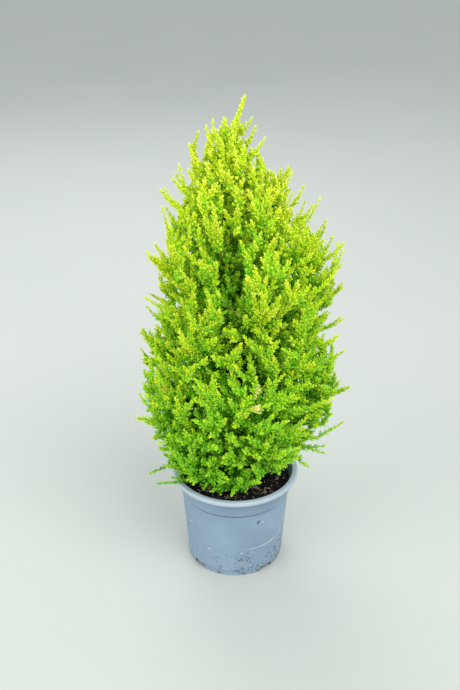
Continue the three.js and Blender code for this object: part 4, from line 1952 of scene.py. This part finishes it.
    def fill(self, rule: ShootRule, least: float, most: float, gap: float) -> None:
        """Lets side shoots grow to where the crown is still empty.

        Args:
            rule: How the shoots grow.
            least: Share of the crown's outline from which on empty places are looked for.
            most: Share of the outline up to which they are.
            gap: How far from all sprays a place is to be.
        """
        crown, filling, random = self.crown, self.filling, self.random
        heap = np.concatenate(self.sprays)
        middles = heap[:, ORIGIN] + heap[:, HEADING] * heap[:, LENGTH, None] * filling.spray_middle
        near = nearest_finder(middles)
        z = random.uniform(crown.rule.ground, filling.top, filling.tries)
        turn = random.random(filling.tries) * FULL_TURN
        out = np.sqrt(random.uniform(least**2, most**2, filling.tries))
        radius = out * at_height(filling.slim, z) * at_height(crown.rule.outline, z)
        targets = crown.in_crown(z, turn, radius)
        chosen = np.empty((0, 3))
        for target in targets[crown.open_space(targets, 1.0)]:
            if near.find(target)[2] < gap:
                continue
            if len(chosen) and np.linalg.norm(chosen - target, axis=1).min() < gap * filling.apart:
                continue
            chosen = np.append(chosen, target[None], axis=0)
        if len(chosen):
            self.reach_out(chosen, heap[:, ORIGIN], rule)

    def reach_out(self, targets: Array, wood: Array, rule: ShootRule) -> None:
        """Grows a shoot to each target from the nearby wood that it can best rise from.

        Args:
            targets: The places to reach.
            wood: Points on the limbs and shoots that are there already.
            rule: How the shoots grow.
        """
        filling = self.filling
        near = nearest_finder(wood)
        climbs = at_height(filling.climb, targets[:, 2])
        roots = np.empty_like(targets)
        for number, (target, climb) in enumerate(zip(targets, climbs)):
            found = near.find_n(target, filling.neighbours)
            places = np.array([place for place, _, _ in found])
            far = np.array([distance for _, _, distance in found])
            flat = np.maximum(0, climb * far - (target - places)[:, 2])
            short = np.maximum(0, filling.least - far)
            roots[number] = places[(far + filling.flat_cost * flat + filling.short_cost * short).argmin()]
        way = targets - roots
        length = np.linalg.norm(way, axis=1)
        curls = at_height(filling.curl, targets[:, 2])
        headings = way / length[:, None] - UP * curls[:, None]
        plumes = self.crown.gaps(targets).argmin(1)
        if rule is self.strays.rule:
            plumes[:] = self.stray
        for plume in np.unique(plumes):
            group = (plumes == plume) & (length > rule.shortest)
            self.shoots(int(plume), roots[group], headings[group], length[group], curls[group], rule)

    def tints(self, heap: Array) -> Array:
        """Deals each spray a tint by its height, how far out it is and how young.

        Args:
            heap: The sprays.

        Returns:
            A number for each, from 0, the crown's inside, up to the one before the palest.
        """
        rule = self.tinting
        random = np.random.default_rng(self.seed + 1)
        tips = spray_tips(heap)
        out = np.clip(self.crown.outwardness(tips), 0, rule.outermost)
        moods = random.normal(0, rule.plume_mood, len(self.crown.plumes) + 1)
        # darker, greener tints deeper inside: partly the inner foliage's own green, partly painted shade
        value = at_height(rule.ripeness, tips[:, 2]) + rule.outer_gain * out**rule.outer_power
        value = value + rule.young_gain * heap[:, AGE] + moods[heap[:, PLUME].astype(int)]
        value += random.normal(0, rule.spray_mood, len(heap))
        return np.clip(np.round(value), 0, PALEST - 1).astype(int)

    def standing(self) -> Array:
        """Returns the heap of sprays without those that end where foliage may not be."""
        heap = np.concatenate(self.sprays)
        tips = spray_tips(heap)
        stray = (heap[:, PLUME] == self.stray) & self.crown.in_room(tips)
        return heap[self.crown.open_space(tips, self.outermost) | stray]

    def marked(self, tips: Array) -> Array:
        """Finds the sprays that the marks take.

        Args:
            tips: Where the sprays end.

        Returns:
            The number of a mark's tint for each spray that one takes, and -1 for the others.
        """
        marked = np.full(len(tips), -1)
        for mark in self.marks:
            marked[mark.sprays(tips)] = list(Tint).index(mark.tint)
        return marked

    def leaves(self) -> None:
        """Turns the sprays into joined meshes, one or more for each tint."""
        heap = self.standing()
        tips, headings = spray_tips(heap), heap[:, HEADING]
        tints, marked = self.tints(heap), self.marked(tips)
        turns = self.random.random(len(heap)) * FULL_TURN
        side = turned_about(square_to(headings), headings, turns)
        frames = np.stack([headings, side, np.cross(headings, side)], 1)
        out = self.crown.outwardness(tips)
        radii = self.branchlet_radius * at_height(self.girths, out)[:, None, None, None]
        origins, lengths = heap[:, None, None, ORIGIN], heap[:, LENGTH, None, None, None]
        shapes = (SprayShape(), SprayShape(branchlets=self.deep_branchlets))
        variants = [shape.variant(seed) for shape in shapes for seed in range(self.variants)]
        kinds = self.random.integers(0, self.variants, len(heap)) + self.variants * (out < self.deep)
        branchlets: list[list[Array]] = [[] for _ in Tint]
        for kind, halves in enumerate(variants):
            for half, points in enumerate(halves):
                dealt = np.where(marked >= 0, marked, np.minimum(tints + half, PALEST))
                for number, gathered in enumerate(branchlets):
                    chosen = (kinds == kind) & (dealt == number)
                    local = points[None, :, 0] * lengths[chosen] + points[None, :, 1] * radii[chosen]
                    corners = np.einsum("nsij,njk->nsik", local, frames[chosen]) + origins[chosen]
                    gathered.append(corners.reshape(-1, 4, 3))
        for tint, gathered in zip(Tint, branchlets):
            self.leaf_pieces(tint, np.concatenate(gathered))
        LOG.info("%d sprays", len(heap))

    def leaf_pieces(self, tint: Tint, branchlets: Array) -> None:
        """Joins a tint's branchlets into pieces below the limit on triangles.

        Args:
            tint: The tint.
            branchlets: Four corners for each branchlet.
        """
        material = tint.material()
        parts = max(1, math.ceil(len(branchlets) * len(BRANCHLET_FACES) / PIECE_TRIANGLES))
        for number, part in enumerate(np.array_split(branchlets, parts)):
            faces = BRANCHLET_FACES[None] + part.shape[1] * np.arange(len(part))[:, None, None]
            name = f"{tint.piece_name}_{number + 1}"
            piece = mesh_piece(name, part.reshape(-1, 3), faces.reshape(-1, 3), smooth=False)
            hand_over(piece, material)

    def grow_all(self) -> None:
        """Grows the trunk's shoots and every plume, and fills what is left empty."""
        trunk = self.crown.trunk
        stem = trunk.at(np.linspace(trunk.foot + self.trunk_bare, trunk.top, self.trunk_points))
        self.grow_along(0, stem, self.inner, (0, 1), self.trunk_limits, own=False)
        for plume in self.crown.plumes:
            self.grow(plume)
        LOG.info("%d sprays by the rule", sum(len(part) for part in self.sprays))
        for rule, share in ((self.inner, self.filling.inner), (self.rule, self.filling.outer)):
            for _ in range(self.filling.rounds):
                self.fill(rule, *share)
        heap = np.concatenate(self.sprays)
        self.reach_out(self.strays.tips(self.crown, self.random), heap[:, ORIGIN], self.strays.rule)

    def build(self) -> None:
        """Grows the crown and makes its twigs and leaves."""
        self.grow_all()
        nodes = tuple(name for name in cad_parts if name.startswith("foliage_"))
        hand_over(self.twigs.piece("twigs"), TWIG_BARK.material(), nodes)
        self.leaves()


# ------------------------------------------------------------------------------ the studio


@dataclass(frozen=True)
class Lamp:
    """A square soft light, with its place and side in metres and its power in watts."""

    name: str
    place: Triple
    size: float
    power: float

    def hang(self, aim: Triple) -> None:
        """Hangs the light.

        Args:
            aim: The place that it shines at, in metres.
        """
        data = bpy.data.lights.new(self.name, "AREA")
        data.shape = "SQUARE"
        data.size = self.size
        data.energy = self.power
        light = placed(self.name, data)
        light.location = self.place
        light.rotation_euler = (Vector(aim) - Vector(self.place)).to_track_quat("-Z", "Y").to_euler()


@dataclass(frozen=True)
class Studio:
    """A plain pale floor, soft lights and the camera."""

    camera_place: Triple = (-0.006, -0.8945, 0.727)
    camera_pitch: float = 27.3
    lens: float = 50.0
    sensor: float = 36.0
    floor_size: float = 30.0
    floor_colour: Colour = (176, 179, 173)
    floor_shade: Colour = (170, 174, 168)
    floor_grain: Pair = (3, 2)
    floor_roughness: float = 0.9
    aim: Triple = (0, 0, 0.25)
    lamps: tuple[Lamp, ...] = (
        Lamp("key", (0.7, -1.1, 1.9), 1.4, 36),
        Lamp("fill", (-1.4, -1.0, 1.0), 1.2, 16),
        Lamp("back", (-0.4, 1.3, 1.5), 1.0, 14),
    )
    world_colour: tuple[float, float, float, float] = (0.9, 0.95, 1.0, 1)
    world_light: float = 1.0

    def floor(self) -> None:
        """Lays the floor."""
        deselect_all()
        bpy.ops.mesh.primitive_plane_add(size=self.floor_size)
        floor = bpy.context.object
        floor.name = "floor"
        graph = Graph("floor")
        pattern = graph.noise(*self.floor_grain)
        tone = graph.mix(pattern, linear(self.floor_colour), linear(self.floor_shade))
        floor.data.materials.append(graph.finished({"Base Color": tone, "Roughness": self.floor_roughness}))
        floor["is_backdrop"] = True

    def world(self) -> None:
        """Sets the light that comes from all around, and how colours are shown."""
        world = bpy.data.worlds.new("studio")
        world.use_nodes = True
        background = world.node_tree.nodes["Background"]
        background.inputs["Color"].default_value = self.world_colour
        background.inputs["Strength"].default_value = self.world_light
        bpy.context.scene.world = world
        bpy.context.scene.view_settings.view_transform = "Standard"

    def camera(self) -> None:
        """Sets up the camera."""
        data = bpy.data.cameras.new("camera")
        data.lens = self.lens
        data.sensor_width = self.sensor
        camera = placed("camera", data)
        camera.location = self.camera_place
        camera.rotation_euler = (math.radians(90 - self.camera_pitch), 0, 0)
        bpy.context.scene.camera = camera

    def build(self) -> None:
        """Sets up the floor, the lights, the world and the camera."""
        self.floor()
        for lamp in self.lamps:
            lamp.hang(self.aim)
        self.world()
        self.camera()


def main() -> None:
    """Builds the pot, the compost, the limbs, the foliage and the studio, in that order."""
    logging.basicConfig(level=logging.INFO, format="%(name)s: %(message)s")
    cad_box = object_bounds()
    solids = np.array([list(corner) for corner in cad_box]) / MM
    crown = PlantPlan(PlantRule(), Trunk(), solids)
    pot = NurseryPot()
    pot.build()
    Compost(pot).build()
    Limbs(crown).build()
    Foliage(crown).build()
    Studio().build()


if __name__ == "__main__":
    main()
